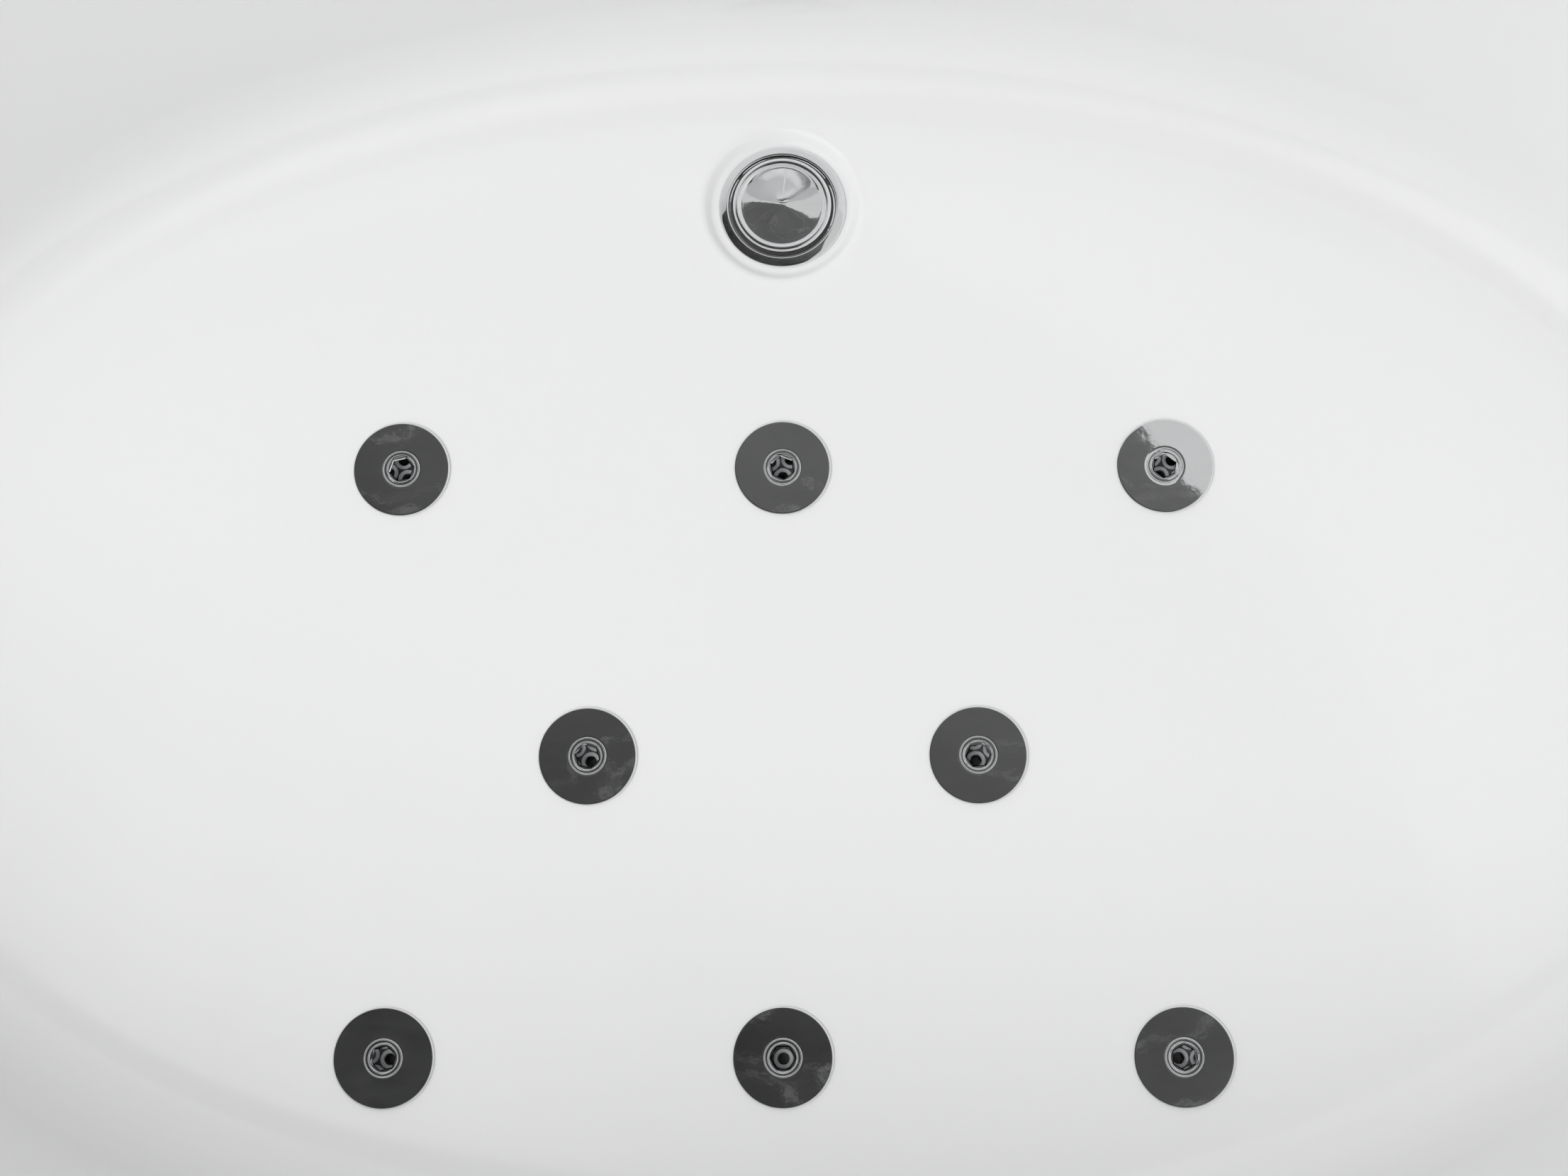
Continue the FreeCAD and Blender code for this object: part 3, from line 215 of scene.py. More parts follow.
for n in range(SOFT_STEPS + 1):
    turn = math.radians(90 - 90 * n / SOFT_STEPS)
    rings.append(ring(rim_long - RIM_SOFT + RIM_SOFT * math.cos(turn),
                      rim_wide - RIM_SOFT + RIM_SOFT * math.cos(turn),
                      RIM_TOP - RIM_SOFT + RIM_SOFT * math.sin(turn), 1))
for n in range(LIP_STEPS + 1):
    turn = math.radians(-180 * n / LIP_STEPS)
    rings.append(ring(rim_long - LIP_WALL / 2 + LIP_WALL / 2 * math.cos(turn),
                      rim_wide - LIP_WALL / 2 + LIP_WALL / 2 * math.cos(turn),
                      RIM_TOP - LIP_DROP + LIP_WALL / 2 + LIP_WALL / 2 * math.sin(turn), 1))
rings.append(ring(rim_long - LIP_WALL, rim_wide - LIP_WALL, RIM_TOP - SHELL, 1))
under_round = FLOOR_ROUND + SHELL
back_heights = [(RIM_TOP - SHELL - UNDER) * (1 - n / BACK_STEPS) for n in range(BACK_STEPS - 1)]
round_heights = [under_round * (1 - math.cos(math.radians(t))) for t in range(BACK_TURN, -1, -BACK_STEP)]
back_heights += [height for height in round_heights if height < back_heights[-1]]
for height in back_heights:
    rings.append(ring(reach(FLAT_LONG, END_LEAN, under_round, height),
                      reach(FLAT_WIDE, SIDE_LEAN, under_round, height),
                      UNDER + height, soft(height / wall_top)))
rings.append(ring(FLAT_LONG / 2, FLAT_WIDE / 2, UNDER, 0))
rings.append([(0, 0, UNDER)])
tub = closed_mesh("tub_shell", rings)

# The waste stands in a shallow round dish, and the fittings have drilled holes.
WASTE_Y, SUMP_FLOOR = 0.231, 0.145
DISH_BACK, DISH_UNDER, DISH_ROOT = 0.0485, 0.139, 0.1455
DISH_FLAT, DISH_ROUND, DISH_EDGE, DISH_EDGE_ROUND, DISH_CUT_TOP = 0.0350, 0.006, 0.0452, 0.007, 0.170
JET_PITCH, ROW_PITCH, FAR_ROW, JET_ROWS = 0.200, 0.152, 0.085, ((-1, 0, 1), (-0.5, 0.5), (-1, 0, 1))
WASTE_HOLE, JET_HOLE, OVERFLOW_HOLE, BUTTON_HOLE = 0.026, 0.0102, 0.024, 0.016  # radii
WASTE_DRILL_FOOT, JET_DRILL_FOOT, DRILL_TOP, DRILL_REACH = 0.10, 0.12, 0.2, 0.05
over_waste = Matrix.Translation((0, WASTE_Y, 0))
merge(tub, rod("dish_back", DISH_BACK, DISH_UNDER, DISH_ROOT, place=over_waste), "UNION")
dish = [(0, SUMP_FLOOR), (DISH_FLAT, SUMP_FLOOR)]
dish += arc(DISH_FLAT, SUMP_FLOOR + DISH_ROUND, DISH_ROUND, -90, -52, 6)
dish += arc(DISH_EDGE, FLOOR - DISH_EDGE_ROUND, DISH_EDGE_ROUND, 128, 90, 8)
dish += [(DISH_EDGE + 0.0001, DISH_CUT_TOP), (0, DISH_CUT_TOP)]
merge(tub, turned("dish", dish, place=over_waste), "DIFFERENCE")
jet_places = [(step * JET_PITCH, FAR_ROW - row * ROW_PITCH)
              for row, steps in enumerate(JET_ROWS) for step in steps]
merge(tub, rod("drill", WASTE_HOLE, WASTE_DRILL_FOOT, DRILL_TOP, 48, over_waste), "DIFFERENCE")
for x, y in jet_places:
    merge(tub, rod("drill", JET_HOLE, JET_DRILL_FOOT, DRILL_TOP, 48, Matrix.Translation((x, y, 0))),
          "DIFFERENCE")

# The overflow stands square on the leaning far wall, so its place comes from the wall's own rule.
OVERFLOW_HEIGHT = 0.500
overflow_out = round(reach(FLAT_WIDE, SIDE_LEAN, FLOOR_ROUND, OVERFLOW_HEIGHT - FLOOR), 6)
OVERFLOW = (Matrix.Translation((0, overflow_out, OVERFLOW_HEIGHT))
            @ Matrix.Rotation(math.pi / 2 - SIDE_LEAN, 4, "X"))
merge(tub, rod("drill", OVERFLOW_HOLE, -DRILL_REACH, DRILL_REACH, 64, OVERFLOW), "DIFFERENCE")
low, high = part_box("button_bezel")
BUTTON = Matrix.Translation(((low[0] + high[0]) / 2, (low[1] + high[1]) / 2, RIM_TOP))
merge(tub, rod("drill", BUTTON_HOLE, -DRILL_REACH, DRILL_REACH, 48, BUTTON), "DIFFERENCE")
smooth(tub)


class Value:
    """A socket that takes part in Python sums; each sum adds its Math node."""

    def __init__(self, finish, socket):
        self.finish, self.socket = finish, socket

    def maths(self, operation, first, second):
        return self.finish.add("ShaderNodeMath", {"operation": operation}, {0: first, 1: second})

    def __add__(self, other):
        return self.maths("ADD", self, other)

    def __sub__(self, other):
        return self.maths("SUBTRACT", self, other)

    def __rsub__(self, other):
        return self.maths("SUBTRACT", other, self)

    def __mul__(self, other):
        return self.maths("MULTIPLY", self, other)

    def __gt__(self, other):
        return self.maths("GREATER_THAN", self, other)

    __radd__, __rmul__ = __add__, __mul__


# The Mix node's sockets are found by number, because several share a name.
MIX_AMOUNT, MIX_DARK, MIX_LIGHT, MIX_RESULT = 0, 6, 7, 2


class Finish:
    """One surface finish: a material whose nodes are added by type, settings and sockets."""

    def __init__(self, name, **constants):
        self.material = bpy.data.materials.new(name)
        self.material.use_nodes = True
        self.nodes, self.links = self.material.node_tree.nodes, self.material.node_tree.links
        self.surface = self.nodes["Principled BSDF"]
        for socket, value in constants.items():
            self.surface.inputs[socket.replace("_", " ")].default_value = value
        self.place = Value(self, self.nodes.new("ShaderNodeTexCoord").outputs["Object"])

    def add(self, kind, settings=None, sockets=None, output=0):
        """Any node, from its type, its settings and the values or links of its sockets."""
        node = self.nodes.new(kind)
        for name, value in (settings or {}).items():
            setattr(node, name, value)
        for name, value in (sockets or {}).items():
            if isinstance(value, Value):
                self.links.new(value.socket, node.inputs[name])
            else:
                node.inputs[name].default_value = value
        return Value(self, node.outputs[output])

    def noise(self, scale, detail, stretch=(1, 1, 1)):
        """Soft spots spread through the piece, drawn out where a stretch is given."""
        place = self.place
        if stretch != (1, 1, 1):
            place = self.add("ShaderNodeMapping", None, {"Vector": self.place, "Scale": stretch})
        return self.add("ShaderNodeTexNoise", None, {"Vector": place, "Scale": scale, "Detail": detail})

    def tint(self, amount, dark, light):
        """Two colours mixed by an amount."""
        return self.add("ShaderNodeMix", {"data_type": "RGBA"},
                        {MIX_AMOUNT: amount, MIX_DARK: (*dark, 1), MIX_LIGHT: (*light, 1)}, MIX_RESULT)

    def set(self, socket, value):
        """Feeds a socket of the surface."""
        self.links.new(value.socket, self.surface.inputs[socket])
        return self

    def mottled(self, scale, detail, dark, light):
        """Colour that drifts between two shades."""
        return self.set("Base Color", self.tint(self.noise(scale, detail), dark, light))

    def worn(self, scale, detail, spread, least):
        """Roughness that drifts over a spread above its least value."""
        return self.set("Roughness", self.noise(scale, detail) * spread + least)

    def relief(self, height, distance, strength):
        """Fine unevenness of the surface, in metres."""
        bump = self.add("ShaderNodeBump", None,
                        {"Strength": strength, "Distance": distance, "Height": height})
        return self.set("Normal", bump)

    def onto(self, *pieces):
        """Gives the finish to pieces, in place of any that they carry."""
        for piece in pieces:
            if piece.material_slots:
                for slot in piece.material_slots:
                    slot.material = self.material
            else:
                piece.data.materials.append(self.material)


# White acrylic: a deep gloss with the faint waviness of a drawn sheet and a few rubbed spots.
acrylic = Finish("white_acrylic", Roughness=0.10, Coat_Weight=0.35, Coat_Roughness=0.04, IOR=1.49)
acrylic.mottled(2.6, 2, (0.795, 0.797, 0.800), (0.822, 0.823, 0.824))
acrylic.worn(14, 4, 0.06, 0.09)
acrylic.relief(acrylic.noise(5, 2) + acrylic.noise(260, 2) * 0.04, 0.0006, 0.5)
acrylic.onto(tub)
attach(tub, "tub")
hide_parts("acrylic_shell")

# ---- skirt and service panel ----
# The skirt is a second acrylic sheet bent round the tub and bonded under the rim. A panel with
# air slots closes its right-hand end; four screws hold it to blocks behind its corners.
skirt_finish = Finish("skirt_acrylic", Roughness=0.16, Coat_Weight=0.25, Coat_Roughness=0.06, IOR=1.49)
skirt_finish.mottled(3, 2, (0.790, 0.792, 0.795), (0.818, 0.819, 0.820))
skirt_finish.worn(12, 4, 0.08, 0.12)
skirt_finish.relief(skirt_finish.noise(4, 2), 0.0008, 0.5)
skirt_finish.onto(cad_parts["outer_skirt"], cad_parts["service_panel"])

SKIRT_INSET, PANEL_FOOT, PANEL_TOP = 0.010, 0.070, 0.250
SCREW_SPREAD, SCREW_INSET, SCREW_STAND = 0.110, 0.010, 0.0001
SCREW_SHANK, SCREW_HEAD, SCREW_CROWN = 0.0019, 0.0046, 0.0034
end_radius, end_middle = end_arc(rim_long, rim_wide)
skirt_radius = end_radius - SKIRT_INSET
outline = [(0, -0.004), (SCREW_SHANK, -0.004), (SCREW_SHANK, 0), (SCREW_HEAD, 0), (SCREW_HEAD, 0.0008)]
outline += arc(0, -0.0018, 0.0052, 30, 90, 6)[:-1] + [(0, SCREW_CROWN)]
screw_head = turned("panel_screw_heads", outline, 32)
merge(screw_head, rod("screw_socket", 0.0018, 0.0012, 0.006, 6), "DIFFERENCE")


def scatter(name, master, spots, turns):
    """Copies of one piece, each at its own spot and turn, made by a Geometry Nodes tree."""
    points = bpy.data.meshes.new(name + "_spots")
    points.from_pydata([tuple(spot) for spot in spots], [], [])
    turn = points.attributes.new("turn", "FLOAT_VECTOR", "POINT")
    for n, angles in enumerate(turns):
        turn.data[n].vector = angles
    carrier = bpy.data.objects.new(name, points)
    bpy.context.collection.objects.link(carrier)
    tree = bpy.data.node_groups.new(name + "_tree", "GeometryNodeTree")
    tree.interface.new_socket("Geometry", in_out="INPUT", socket_type="NodeSocketGeometry")
    size = tree.interface.new_socket("Size", in_out="INPUT", socket_type="NodeSocketFloat")
    finish = tree.interface.new_socket("Finish", in_out="INPUT", socket_type="NodeSocketMaterial")
    piece_input = tree.interface.new_socket("Piece", in_out="INPUT", socket_type="NodeSocketObject")
    tree.interface.new_socket("Geometry", in_out="OUTPUT", socket_type="NodeSocketGeometry")
    start, end = tree.nodes.new("NodeGroupInput"), tree.nodes.new("NodeGroupOutput")
    info = tree.nodes.new("GeometryNodeObjectInfo")
    spread = tree.nodes.new("GeometryNodeInstanceOnPoints")
    named = tree.nodes.new("GeometryNodeInputNamedAttribute")
    named.data_type = "FLOAT_VECTOR"
    named.inputs["Name"].default_value = "turn"
    real = tree.nodes.new("GeometryNodeRealizeInstances")
    paint = tree.nodes.new("GeometryNodeSetMaterial")
    tree.links.new(start.outputs["Geometry"], spread.inputs["Points"])
    tree.links.new(start.outputs["Piece"], info.inputs["Object"])
    tree.links.new(info.outputs["Geometry"], spread.inputs["Instance"])
    tree.links.new(named.outputs["Attribute"], spread.inputs["Rotation"])
    tree.links.new(start.outputs["Size"], spread.inputs["Scale"])
    tree.links.new(spread.outputs["Instances"], real.inputs["Geometry"])
    tree.links.new(real.outputs["Geometry"], paint.inputs["Geometry"])
    tree.links.new(start.outputs["Finish"], paint.inputs["Material"])
    tree.links.new(paint.outputs["Geometry"], end.inputs["Geometry"])
    modifier = carrier.modifiers.new(name, "NODES")
    modifier.node_group = tree
    modifier[size.identifier] = 1.0
    modifier[finish.identifier] = master.data.materials[0]
    modifier[piece_input.identifier] = master
    bpy.context.view_layer.update()
    result = bpy.data.meshes.new_from_object(carrier.evaluated_get(bpy.context.evaluated_depsgraph_get()))
    carrier.modifiers.clear()
    carrier.data = result
    bpy.data.objects.remove(master)
    return carrier


# Polished metal of the fittings: bright, with very light wiping marks.
chrome = Finish("polished_chrome", Metallic=1.0, Roughness=0.05)
wiped = chrome.noise(60, 5, (1, 3, 1))
chrome.set("Base Color", chrome.tint(wiped, (0.82, 0.83, 0.84), (0.90, 0.905, 0.91)))
chrome.set("Roughness", wiped * 0.04 + 0.008)
chrome.relief(chrome.noise(180, 2), 0.00004, 0.25)
chrome.onto(screw_head)
smooth(screw_head)
spots, turns = [], []
for side in (-1, 1):
    for level in (PANEL_FOOT + SCREW_INSET, PANEL_TOP - SCREW_INSET):
        swing = math.asin(side * (SCREW_SPREAD - SCREW_INSET) / skirt_radius)
        spots.append((end_middle + (skirt_radius + SCREW_STAND) * math.cos(swing),
                      skirt_radius * math.sin(swing), level))
        turns.append((0, math.pi / 2, swing))
panel_screws = scatter("panel_screws", screw_head, spots, turns)
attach(panel_screws, "tub")

# ---- floor jets ----
# Eight chrome air jets are screwed through the floor in rows of three, two and three. Each is a
# flat polished disc with a raised ring round a deep hexagon socket; far down the socket sits the
# grey seat of the valve that lets air in and keeps water out.
DISC, DISC_RISE, DISC_EDGE = 0.0255, 0.002, 0.0010
SHANK, SHANK_DROP = 0.0093, 0.019
OUTER_BEAD, INNER_BEAD, GROOVE_OUT, GROOVE_IN = 0.0093, 0.0074, 0.0087, 0.0080
BEAD_LEVEL, GROOVE_LEVEL, FACE = DISC_RISE - 0.0002, DISC_RISE - 0.0003, DISC_RISE - 0.0006
HEX, HEX_BEVEL, HEX_BEVEL_DROP, CUT_OVER, CUT_FOOT = 0.0061, 0.0008, 0.0006, 0.0002, -0.03
SOCKET_TURNS = (12, 38, 22, 47, 5, 17, 0, 30)  # degrees, as each happened to be screwed in
outline = [(0, -SHANK_DROP), (SHANK, -SHANK_DROP), (SHANK, 0), (DISC - 0.0004, 0)]
outline += arc(DISC - DISC_EDGE, DISC_EDGE, DISC_EDGE, -40, 90, 8)
outline += [(DISC - 0.0013, DISC_RISE), (0.0108, DISC_RISE), (0.0102, DISC_RISE)]
outline += arc(OUTER_BEAD, BEAD_LEVEL, 0.00045, 20, 150, 6)
outline += [(GROOVE_OUT, GROOVE_LEVEL), (GROOVE_IN, GROOVE_LEVEL)]
outline += arc(INNER_BEAD, BEAD_LEVEL, 0.0004, 20, 160, 5) + [(0.0068, FACE), (0, FACE)]
jet = turned("jet_inserts_visual", outline, 128)
socket_cut = [(0, CUT_FOOT), (HEX, CUT_FOOT), (HEX, FACE - HEX_BEVEL_DROP),
              (HEX + HEX_BEVEL, FACE + CUT_OVER), (0, FACE + CUT_OVER)]
merge(jet, turned("socket", socket_cut, 6), "DIFFERENCE")
smooth(jet, 28)
chrome.onto(jet)
turns = [(0, 0, math.radians(turn)) for turn in SOCKET_TURNS]
jets = scatter("jet_inserts_polished", jet, [(x, y, FLOOR) for x, y in jet_places], turns)
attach(jets, "tub")
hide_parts("jet_inserts")

seat_finish = Finish("valve_seat_plastic", Roughness=0.4)
seat_finish.mottled(400, 3, (0.62, 0.63, 0.64), (0.70, 0.71, 0.72))
SEAT_LEVEL, SEAT_WAY, SEAT = 0.130, 0.0031, 0.0051
seat = turned("valve_seats", [(SEAT_WAY, 0.0001), (SEAT, 0.0001), (SEAT, 0.0007), (0.0048, 0.0010),
                              (0.0036, 0.0010), (SEAT_WAY, 0.0006)], 48)
seat_finish.onto(seat)
smooth(seat)
seats = scatter("valve_seats_set", seat, [(x, y, SEAT_LEVEL) for x, y in jet_places], turns)
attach(seats, "tub")

# ---- waste ----
# A chrome flange seals the hole in the dish. Its plug is a polished cap with a rolled edge and a
# slightly domed face, lifted on a stem that slides in the guide across the flange.
FLANGE_WAY, FLANGE_TAIL, TAIL_DROP = 0.0215, 0.0245, 0.042
GUIDE_SIZE, GUIDE_LEVEL, GUIDE_HOLE = (0.014, 0.044, 0.008), -0.020, 0.0036
in_dish = Matrix.Translation((0, WASTE_Y, SUMP_FLOOR))
outline = [(FLANGE_WAY, -TAIL_DROP), (FLANGE_TAIL, -TAIL_DROP), (FLANGE_TAIL, -0.0002), (0.0335, 0)]
outline += arc(0.0331, 0.0010, 0.00105, -60, 60, 6) + [(0.0325, 0.0022), (0.0304, 0.0029)]
outline += arc(0.0297, 0.0019, 0.0011, 70, 180, 7) + [(0.0284, 0.0015), (FLANGE_WAY, 0.0015)]
flange = turned("waste_flange_polished", outline, 144, in_dish)
guide = bmesh.new()
bmesh.ops.create_cube(guide, size=1, matrix=Matrix.Translation((0, WASTE_Y, SUMP_FLOOR + GUIDE_LEVEL))
                      @ Matrix.Diagonal((*GUIDE_SIZE, 1)))
guide_data = bpy.data.meshes.new("guide")
guide.to_mesh(guide_data)
guide.free()
guide_piece = bpy.data.objects.new("guide", guide_data)
bpy.context.collection.objects.link(guide_piece)
merge(flange, guide_piece, "UNION")
merge(flange, rod("guide_hole", GUIDE_HOLE, -0.03, -0.01, 32, in_dish), "DIFFERENCE")
smooth(flange)
chrome.onto(flange)
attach(flange, "tub")
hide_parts("waste_flange")

PLUG_FOOT, CAP_UNDER, CAP_ROLL = SUMP_FLOOR + 0.0018, 0.0006, 0.0244
STEM, STEM_DROP = 0.0035, 0.034
outline = [(0, -STEM_DROP), (0.0033, -STEM_DROP), (STEM, -0.0335), (STEM, CAP_UNDER), (0.0258, CAP_UNDER)]
outline += arc(0.0256, 0.0014, 0.0010, -60, 20, 5) + arc(CAP_ROLL, 0.0017, 0.0022, 20, 152, 12)
outline += [(0.0219, 0.0023), (0.0205, 0.0023), (0.0120, 0.00280), (0.0050, 0.00325), (0.0018, 0.00345),
            (0, 0.0035)]
plug = turned("waste_plug_polished", outline, 144, Matrix.Translation((0, WASTE_Y, PLUG_FOOT)))
smooth(plug)
chrome.onto(plug)
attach(plug, "waste_plug")
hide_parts("waste_plug")

# A flat rubber seal is stretched under the cap and darkens the gap round it.
SEAL_BORE, SEAL, SEAL_FOOT, SEAL_TOP = 0.0037, 0.0276, 0.0017, 0.0025
seal = turned("plug_seal", [(SEAL_BORE, SEAL_FOOT), (0.0272, SEAL_FOOT), (SEAL, 0.0019), (SEAL, 0.0023),
                            (0.0272, SEAL_TOP), (SEAL_BORE, SEAL_TOP)], 96, in_dish)
smooth(seal)
rubber = Finish("black_rubber", Roughness=0.75)
rubber.mottled(60, 4, (0.020, 0.020, 0.020), (0.045, 0.044, 0.043))
rubber.relief(rubber.noise(400, 3), 0.0001, 0.6)
rubber.onto(seal)
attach(seal, "waste_plug")

# ---- overflow ----
# A round chrome cover on the far wall hides the overflow. Turning its grip bar pulls the cable
# that lifts the plug; water runs in behind its edge.
KNOB_STAND, KNOB_SHAFT, SHAFT_DROP, KNOB_HOLLOW = 0.0045, 0.005, 0.0185, 0.002
GRIP_REACH, GRIP_END, GRIP_HALF, GRIP_STEPS = 0.0272, 0.0278, 0.0042, 12
GRIP_FOOT, GRIP_ROOT, GRIP_CROWN, GRIP_TIP = 0.0102, 0.0105, 0.0084, 0.0120
outline = [(0, -SHAFT_DROP), (KNOB_SHAFT, -SHAFT_DROP), (KNOB_SHAFT, KNOB_HOLLOW), (0.033, KNOB_HOLLOW),
           (0.033, 0), (0.0362, 0)]
outline += arc(0.0350, 0.0012, 0.0019, -20, 10, 3) + arc(0.0285, 0.0035, 0.0085, 5, 80, 10)
outline += [(0.024, 0.0119), (0, 0.012)]
knob = turned("overflow_knob_polished", outline, 144)
grip = []
for n in range(GRIP_STEPS + 1):
    along = -GRIP_REACH + 2 * GRIP_REACH * n / GRIP_STEPS
    width = GRIP_HALF * math.sqrt(max(1 - (abs(along) / GRIP_END) ** 6, 0.02))
    arch = [math.radians(t) for t in range(0, 181, 15)]
    grip.append([(width * math.cos(t), along, GRIP_ROOT + GRIP_CROWN * max(math.sin(t), 0) ** 0.6)
                 for t in arch] + [(0, along, GRIP_FOOT)])
bar = closed_mesh("grip", [[(0, -GRIP_END, GRIP_TIP)]] + grip + [[(0, GRIP_END, GRIP_TIP)]])
merge(knob, bar, "UNION")
knob.data.transform(OVERFLOW @ Matrix.Translation((0, 0, KNOB_STAND)))
smooth(knob)
chrome.onto(knob)
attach(knob, "overflow_knob")
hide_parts("overflow_knob")

# ---- air button ----
# A chrome bezel holds a domed button on the rim. Pressing it squeezes the bellows under the rim,
# and the puff of air switches the blower through the thin tube.
BEZEL_WAY, BEZEL_TAIL, BEZEL_DROP = 0.0123, 0.0150, 0.044
outline = [(BEZEL_WAY, -BEZEL_DROP), (BEZEL_TAIL, -BEZEL_DROP), (BEZEL_TAIL, 0), (0.0206, 0)]
outline += arc(0.0195, 0.0014, 0.0015, -40, 90, 8)
outline += [(0.0140, 0.0030)] + arc(0.0135, 0.0018, 0.0012, 90, 180, 5)
bezel = turned("button_bezel_polished", outline, 96, BUTTON)
smooth(bezel)
chrome.onto(bezel)
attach(bezel, "tub")
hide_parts("button_bezel")
PRESS, PRESS_DROP = 0.012, 0.018
outline = [(0, -PRESS_DROP), (PRESS, -PRESS_DROP), (PRESS, 0.0030)] + arc(0.0100, 0.0032, 0.0020, 0, 70, 6)
outline += [(0.006, 0.0058), (0, 0.0060)]
button = turned("air_button_polished", outline, 96, BUTTON)
smooth(button)
chrome.onto(button)
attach(button, "air_button")
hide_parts("air_button")

# ---- base board and steel frame ----
# A chipboard panel is bonded under the floor and stands on two powder-coated rails, welded across
# two crossbars. Each crossbar has a zinc-plated screw foot at both ends.
chip = Finish("raw_chipboard", Roughness=0.8)
flakes = chip.add("ShaderNodeTexVoronoi", None, {"Vector": chip.place, "Scale": 220.0})
chip.set("Base Color", chip.tint(flakes * 0.8 + chip.noise(30, 4) * 0.4,
                                 (0.30, 0.20, 0.11), (0.62, 0.47, 0.30)))
chip.relief(flakes, 0.0004, 0.6)
chip.onto(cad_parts["base_board"])

powder = Finish("grey_powder_coat", Roughness=0.45)
powder.mottled(25, 3, (0.33, 0.34, 0.35), (0.42, 0.43, 0.44))
powder.worn(90, 3, 0.2, 0.35)
powder.relief(powder.noise(900, 2), 0.00008, 0.5)
RAILS = ("frame_rail_far", "frame_rail_near")
powder.onto(*[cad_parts[name] for name in (*RAILS, "frame_crossbar_left", "frame_crossbar_right",
                                                "blower_shelf")])

zinc = Finish("zinc_plate", Metallic=1.0, Roughness=0.35)
zinc.mottled(120, 4, (0.48, 0.48, 0.50), (0.66, 0.66, 0.68))
zinc.worn(70, 4, 0.25, 0.25)
FEET = ("foot_far_left", "foot_far_right", "foot_near_left", "foot_near_right")
zinc.onto(*[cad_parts[name] for name in FEET])

# A lock nut holds each foot's stud under its crossbar, and pan-headed screws hold the rails to the
# board.
CROSSBAR_FOOT, RAIL_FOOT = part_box("frame_crossbar_left")[0][2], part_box("frame_rail_far")[0][2]
NUT, NUT_BEVEL, NUT_DEPTH, NUT_BORE, CLEAR = 0.0112, 0.0102, 0.0100, 0.0065, 0.0001
NUT_TURNS = (0.3, 0.9, 0.1, 0.6)  # radians
nut = turned("foot_lock_nuts", [(0, -NUT_DEPTH), (NUT_BEVEL, -NUT_DEPTH), (NUT, -0.0092), (NUT, -0.0008),
                                (NUT_BEVEL, -CLEAR), (0, -CLEAR)], 6)
merge(nut, rod("nut_bore", NUT_BORE, -0.02, 0.01, 40), "DIFFERENCE")
zinc.onto(nut)
foot_places = []
for name in FEET:
    corner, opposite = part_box(name)
    foot_places.append(((corner[0] + opposite[0]) / 2, (corner[1] + opposite[1]) / 2, CROSSBAR_FOOT))
nuts = scatter("foot_lock_nuts_set", nut, foot_places, [(0, 0, turn) for turn in NUT_TURNS])
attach(nuts, "tub")

RAIL_SCREW_ALONG = (-0.36, -0.22, -0.07, 0.07, 0.22, 0.36)
pan_screw = turned("rail_screws", [(0, -CLEAR), (0.0042, -CLEAR), (0.0048, -0.0006), (0.0046, -0.0016),
                                   (0.0036, -0.0025), (0.0020, -0.0029), (0, -0.0030)], 24)
merge(pan_screw, rod("screw_socket", 0.0015, -0.0040, -0.0014, 6), "DIFFERENCE")
smooth(pan_screw)
zinc.onto(pan_screw)
rail_places = []
for name in RAILS:
    corner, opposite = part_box(name)
    rail_places += [(x, (corner[1] + opposite[1]) / 2, RAIL_FOOT) for x in RAIL_SCREW_ALONG]
rail_screws = scatter("rail_screws_set", pan_screw, rail_places,
                      [(0, 0, 0.4 * n) for n in range(len(rail_places))])
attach(rail_screws, "tub")

# ---- air ducts, manifold and waste pipes ----
# Moulded grey plastic ducts run under the three rows of jets to a square manifold, and the waste
# body and overflow are cast in the same plastic.
grey = Finish("grey_moulded_plastic", Roughness=0.5)
grey.mottled(20, 3, (0.50, 0.51, 0.52), (0.58, 0.59, 0.60))
grey.worn(150, 3, 0.15, 0.40)
grey.relief(grey.noise(700, 2), 0.00006, 0.5)
grey.onto(*[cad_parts[name] for name in (
    "air_duct_far_row", "air_duct_middle_row", "air_duct_near_row", "air_manifold", "air_feed_duct",
    "overflow_head", "overflow_pipe", "waste_body")])

dark_grey = Finish("dark_grey_plastic", Roughness=0.5)
dark_grey.mottled(35, 3, (0.10, 0.10, 0.11), (0.15, 0.15, 0.16))
dark_grey.worn(150, 3, 0.15, 0.40)
dark_grey.onto(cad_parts["jet_bodies"])

# ---- blower and its cable and tubes ----
# The blower's black case stands on rubber blocks on the folded shelf. Its gland points down for
# the mains cable; a rubber tube comes down from the air button, and a black sheath holds the
# cable between the overflow and the waste.
black = Finish("black_moulded_plastic", Roughness=0.55)
black.mottled(18, 3, (0.018, 0.018, 0.020), (0.034, 0.034, 0.037))
black.worn(160, 3, 0.2, 0.40)
black.relief(black.noise(500, 2), 0.0001, 0.5)
black.onto(*[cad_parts[name] for name in ("blower_case", "blower_base", "blower_impeller",
                                               "blower_cable_gland", "plug_cable", "panel_blocks")])
case_screw = turned("case_screws", [(0, CLEAR), (0.0034, CLEAR), (0.0038, 0.0006), (0.0035, 0.0016),
                                    (0.0022, 0.0023), (0, 0.0026)], 24)
merge(case_screw, rod("case_socket", 0.0013, 0.0010, 0.0040, 6), "DIFFERENCE")
smooth(case_screw)
zinc.onto(case_screw)
CASE_SCREW_INSET = 0.010
low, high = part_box("blower_case")
case_places = [(x, y, high[2]) for x in (low[0] + CASE_SCREW_INSET, high[0] - CASE_SCREW_INSET)
               for y in (low[1] + CASE_SCREW_INSET, high[1] - CASE_SCREW_INSET)]
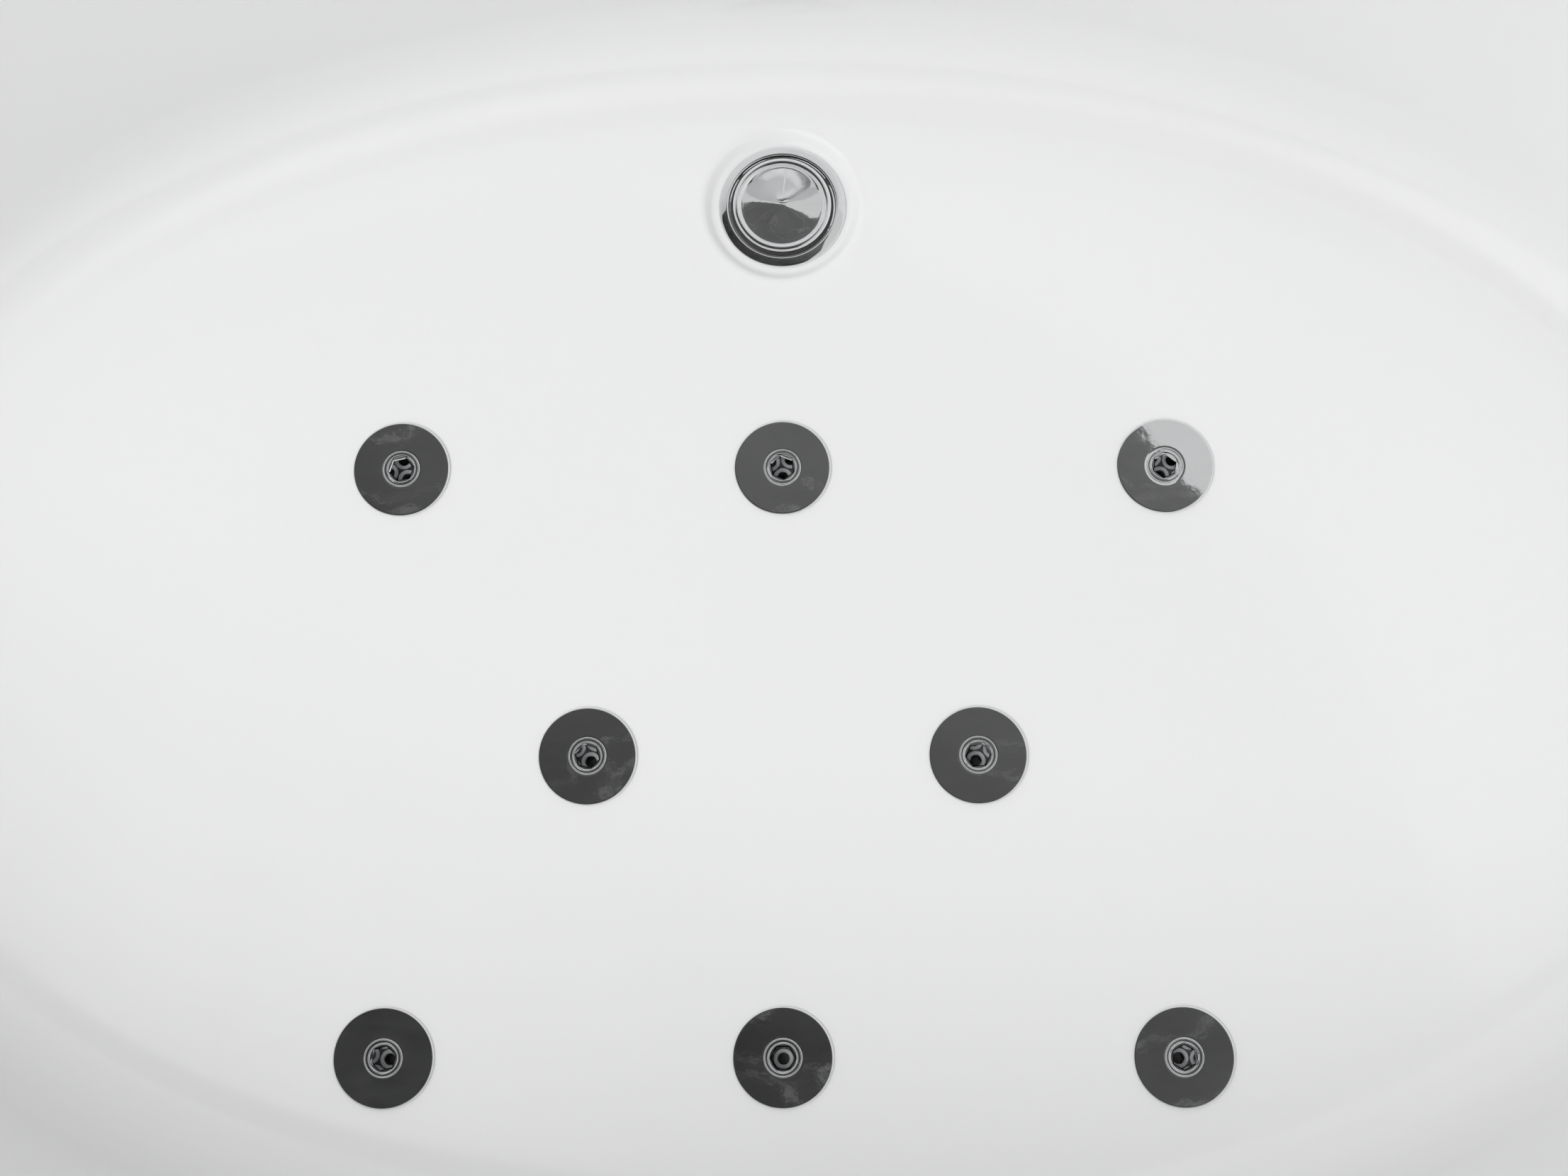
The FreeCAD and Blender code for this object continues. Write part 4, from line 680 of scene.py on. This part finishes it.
case_screws = scatter("case_screws_set", case_screw, case_places, [(0, 0, 0.7 * n) for n in range(4)])
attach(case_screws, "tub")
enamel = Finish("motor_enamel", Roughness=0.35)
enamel.mottled(40, 3, (0.08, 0.08, 0.09), (0.13, 0.13, 0.14))
enamel.onto(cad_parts["blower_motor"])
rubber.onto(*[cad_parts[name] for name in ("blower_mounts", "button_bellows", "button_air_tube")])

# ---- camera ----
# The photograph looks almost straight down into the tub from above its near side. The place and
# the lens come from fitting a camera to the eight jets, the waste and the edge of the floor.
LENS, SENSOR_WIDTH = 57.5, 36.0
CAMERA_PLACE, CAMERA_TURN = (0.018, -0.244, 1.423), (11.75, 0.79, -0.07)
camera_data = bpy.data.cameras.new("photo_camera")
camera_data.lens, camera_data.sensor_width = LENS, SENSOR_WIDTH
camera = bpy.data.objects.new("photo_camera", camera_data)
camera.location = CAMERA_PLACE
camera.rotation_euler = [math.radians(turn) for turn in CAMERA_TURN]
bpy.context.collection.objects.link(camera)
bpy.context.scene.camera = camera

# ---- floor, emitting reflection card and lamp ----
# A plain pale floor, one large soft lamp high on the left, and a dark card far above that only
# polished metal reflects, as it would a dim ceiling. The card glows with a painted reflection: soft
# patches, thin streaks and a brightening towards the right and the far side, which the chrome mirrors.
GROUND_REACH, GROUND_DROP, GROUND_POINTS = 60, 0.0003, 72
around = [math.radians(360 / GROUND_POINTS * n) for n in range(GROUND_POINTS)]
ground_data = bpy.data.meshes.new("studio_floor")
ground_data.from_pydata([(GROUND_REACH * math.cos(t), GROUND_REACH * math.sin(t), -GROUND_DROP)
                         for t in around], [], [tuple(range(GROUND_POINTS))])
ground = bpy.data.objects.new("studio_floor", ground_data)
bpy.context.collection.objects.link(ground)
pale = Finish("pale_floor", Roughness=0.7)
pale.mottled(1.5, 2, (0.78, 0.78, 0.78), (0.82, 0.82, 0.82))
pale.onto(ground)

CARD_LEVEL = 2.6
CARD_EDGE = ((-2.4, -2.2), (1.2, -2.2), (1.0, -0.20), (0.85, 0.35), (0.74, 0.58), (0.66, 0.64),
             (0.58, 0.69), (0.52, 0.77), (0.48, 0.85), (0.30, 0.99), (0.20, 1.02), (0.10, 1.12),
             (0.00, 1.10), (-0.08, 1.16), (-0.20, 1.14), (-0.60, 1.30), (-2.4, 1.6))
card_data = bpy.data.meshes.new("studio_card")
card_data.from_pydata([(x, y, CARD_LEVEL) for x, y in CARD_EDGE], [], [tuple(range(len(CARD_EDGE)))])
card = bpy.data.objects.new("studio_card", card_data)
bpy.context.collection.objects.link(card)
painted_reflection_finish = Finish("painted_reflection_card", Roughness=1.0)
# Painted reflection: soft brighter and darker patches in the card's glow, seen as shading in the polished discs
# and plug.
painted_reflection_patches = painted_reflection_finish.noise(3.2, 4, (1, 1.6, 1))
to_right = painted_reflection_finish.add("ShaderNodeSeparateXYZ", None, {"Vector": painted_reflection_finish.place}, "X")
to_far = painted_reflection_finish.add("ShaderNodeSeparateXYZ", None, {"Vector": painted_reflection_finish.place}, "Y")
# Painted reflection: thin bright bands in the card's glow, mirrored as fine streaks across the polished discs.
painted_streak_noise = painted_reflection_finish.noise(1.9, 5, (1, 2.4, 1))
painted_reflection_lines = ((painted_streak_noise > 0.485) - (painted_streak_noise > 0.497)) + ((painted_streak_noise > 0.560) - (painted_streak_noise > 0.566)) * 1.5
# The glow also brightens towards the right and the far side. This is a painted reflection that lightens the far
# side of each polished disc and of the plug.
painted_reflection_glow = painted_reflection_patches * 0.30 + (to_right * 0.26 + to_far * 0.28) + painted_reflection_lines * 0.30
painted_reflection_finish.set("Base Color", painted_reflection_finish.tint(painted_reflection_patches, (0.0, 0.0, 0.0), (0.01, 0.01, 0.01)))
painted_reflection_finish.set("Emission Color", painted_reflection_finish.tint(painted_reflection_glow, (0.018, 0.018, 0.018), (0.23, 0.23, 0.23)))
painted_reflection_finish.surface.inputs["Emission Strength"].default_value = 1.0
painted_reflection_finish.onto(card)
card.visible_camera = card.visible_diffuse = card.visible_shadow = card.visible_transmission = False

SURROUND = 0.62
world = bpy.data.worlds.new("studio")
bpy.context.scene.world = world
world.use_nodes = True
world.node_tree.nodes["Background"].inputs["Color"].default_value = (1, 1, 1, 1)
world.node_tree.nodes["Background"].inputs["Strength"].default_value = SURROUND

LAMP_PLACE, LAMP_AIM, LAMP_SIZE, LAMP_POWER = Vector((-1.3, -1.0, 3.45)), Vector((0.1, 0.1, 0.2)), 2.8, 76
lamp_data = bpy.data.lights.new("key_lamp", "AREA")
lamp_data.shape, lamp_data.size, lamp_data.energy = "DISK", LAMP_SIZE, LAMP_POWER
lamp = bpy.data.objects.new("key_lamp", lamp_data)
lamp.location = LAMP_PLACE
lamp.rotation_euler = (LAMP_AIM - LAMP_PLACE).to_track_quat("-Z", "Y").to_euler()
bpy.context.collection.objects.link(lamp)

bpy.context.scene.view_settings.view_transform = "Standard"
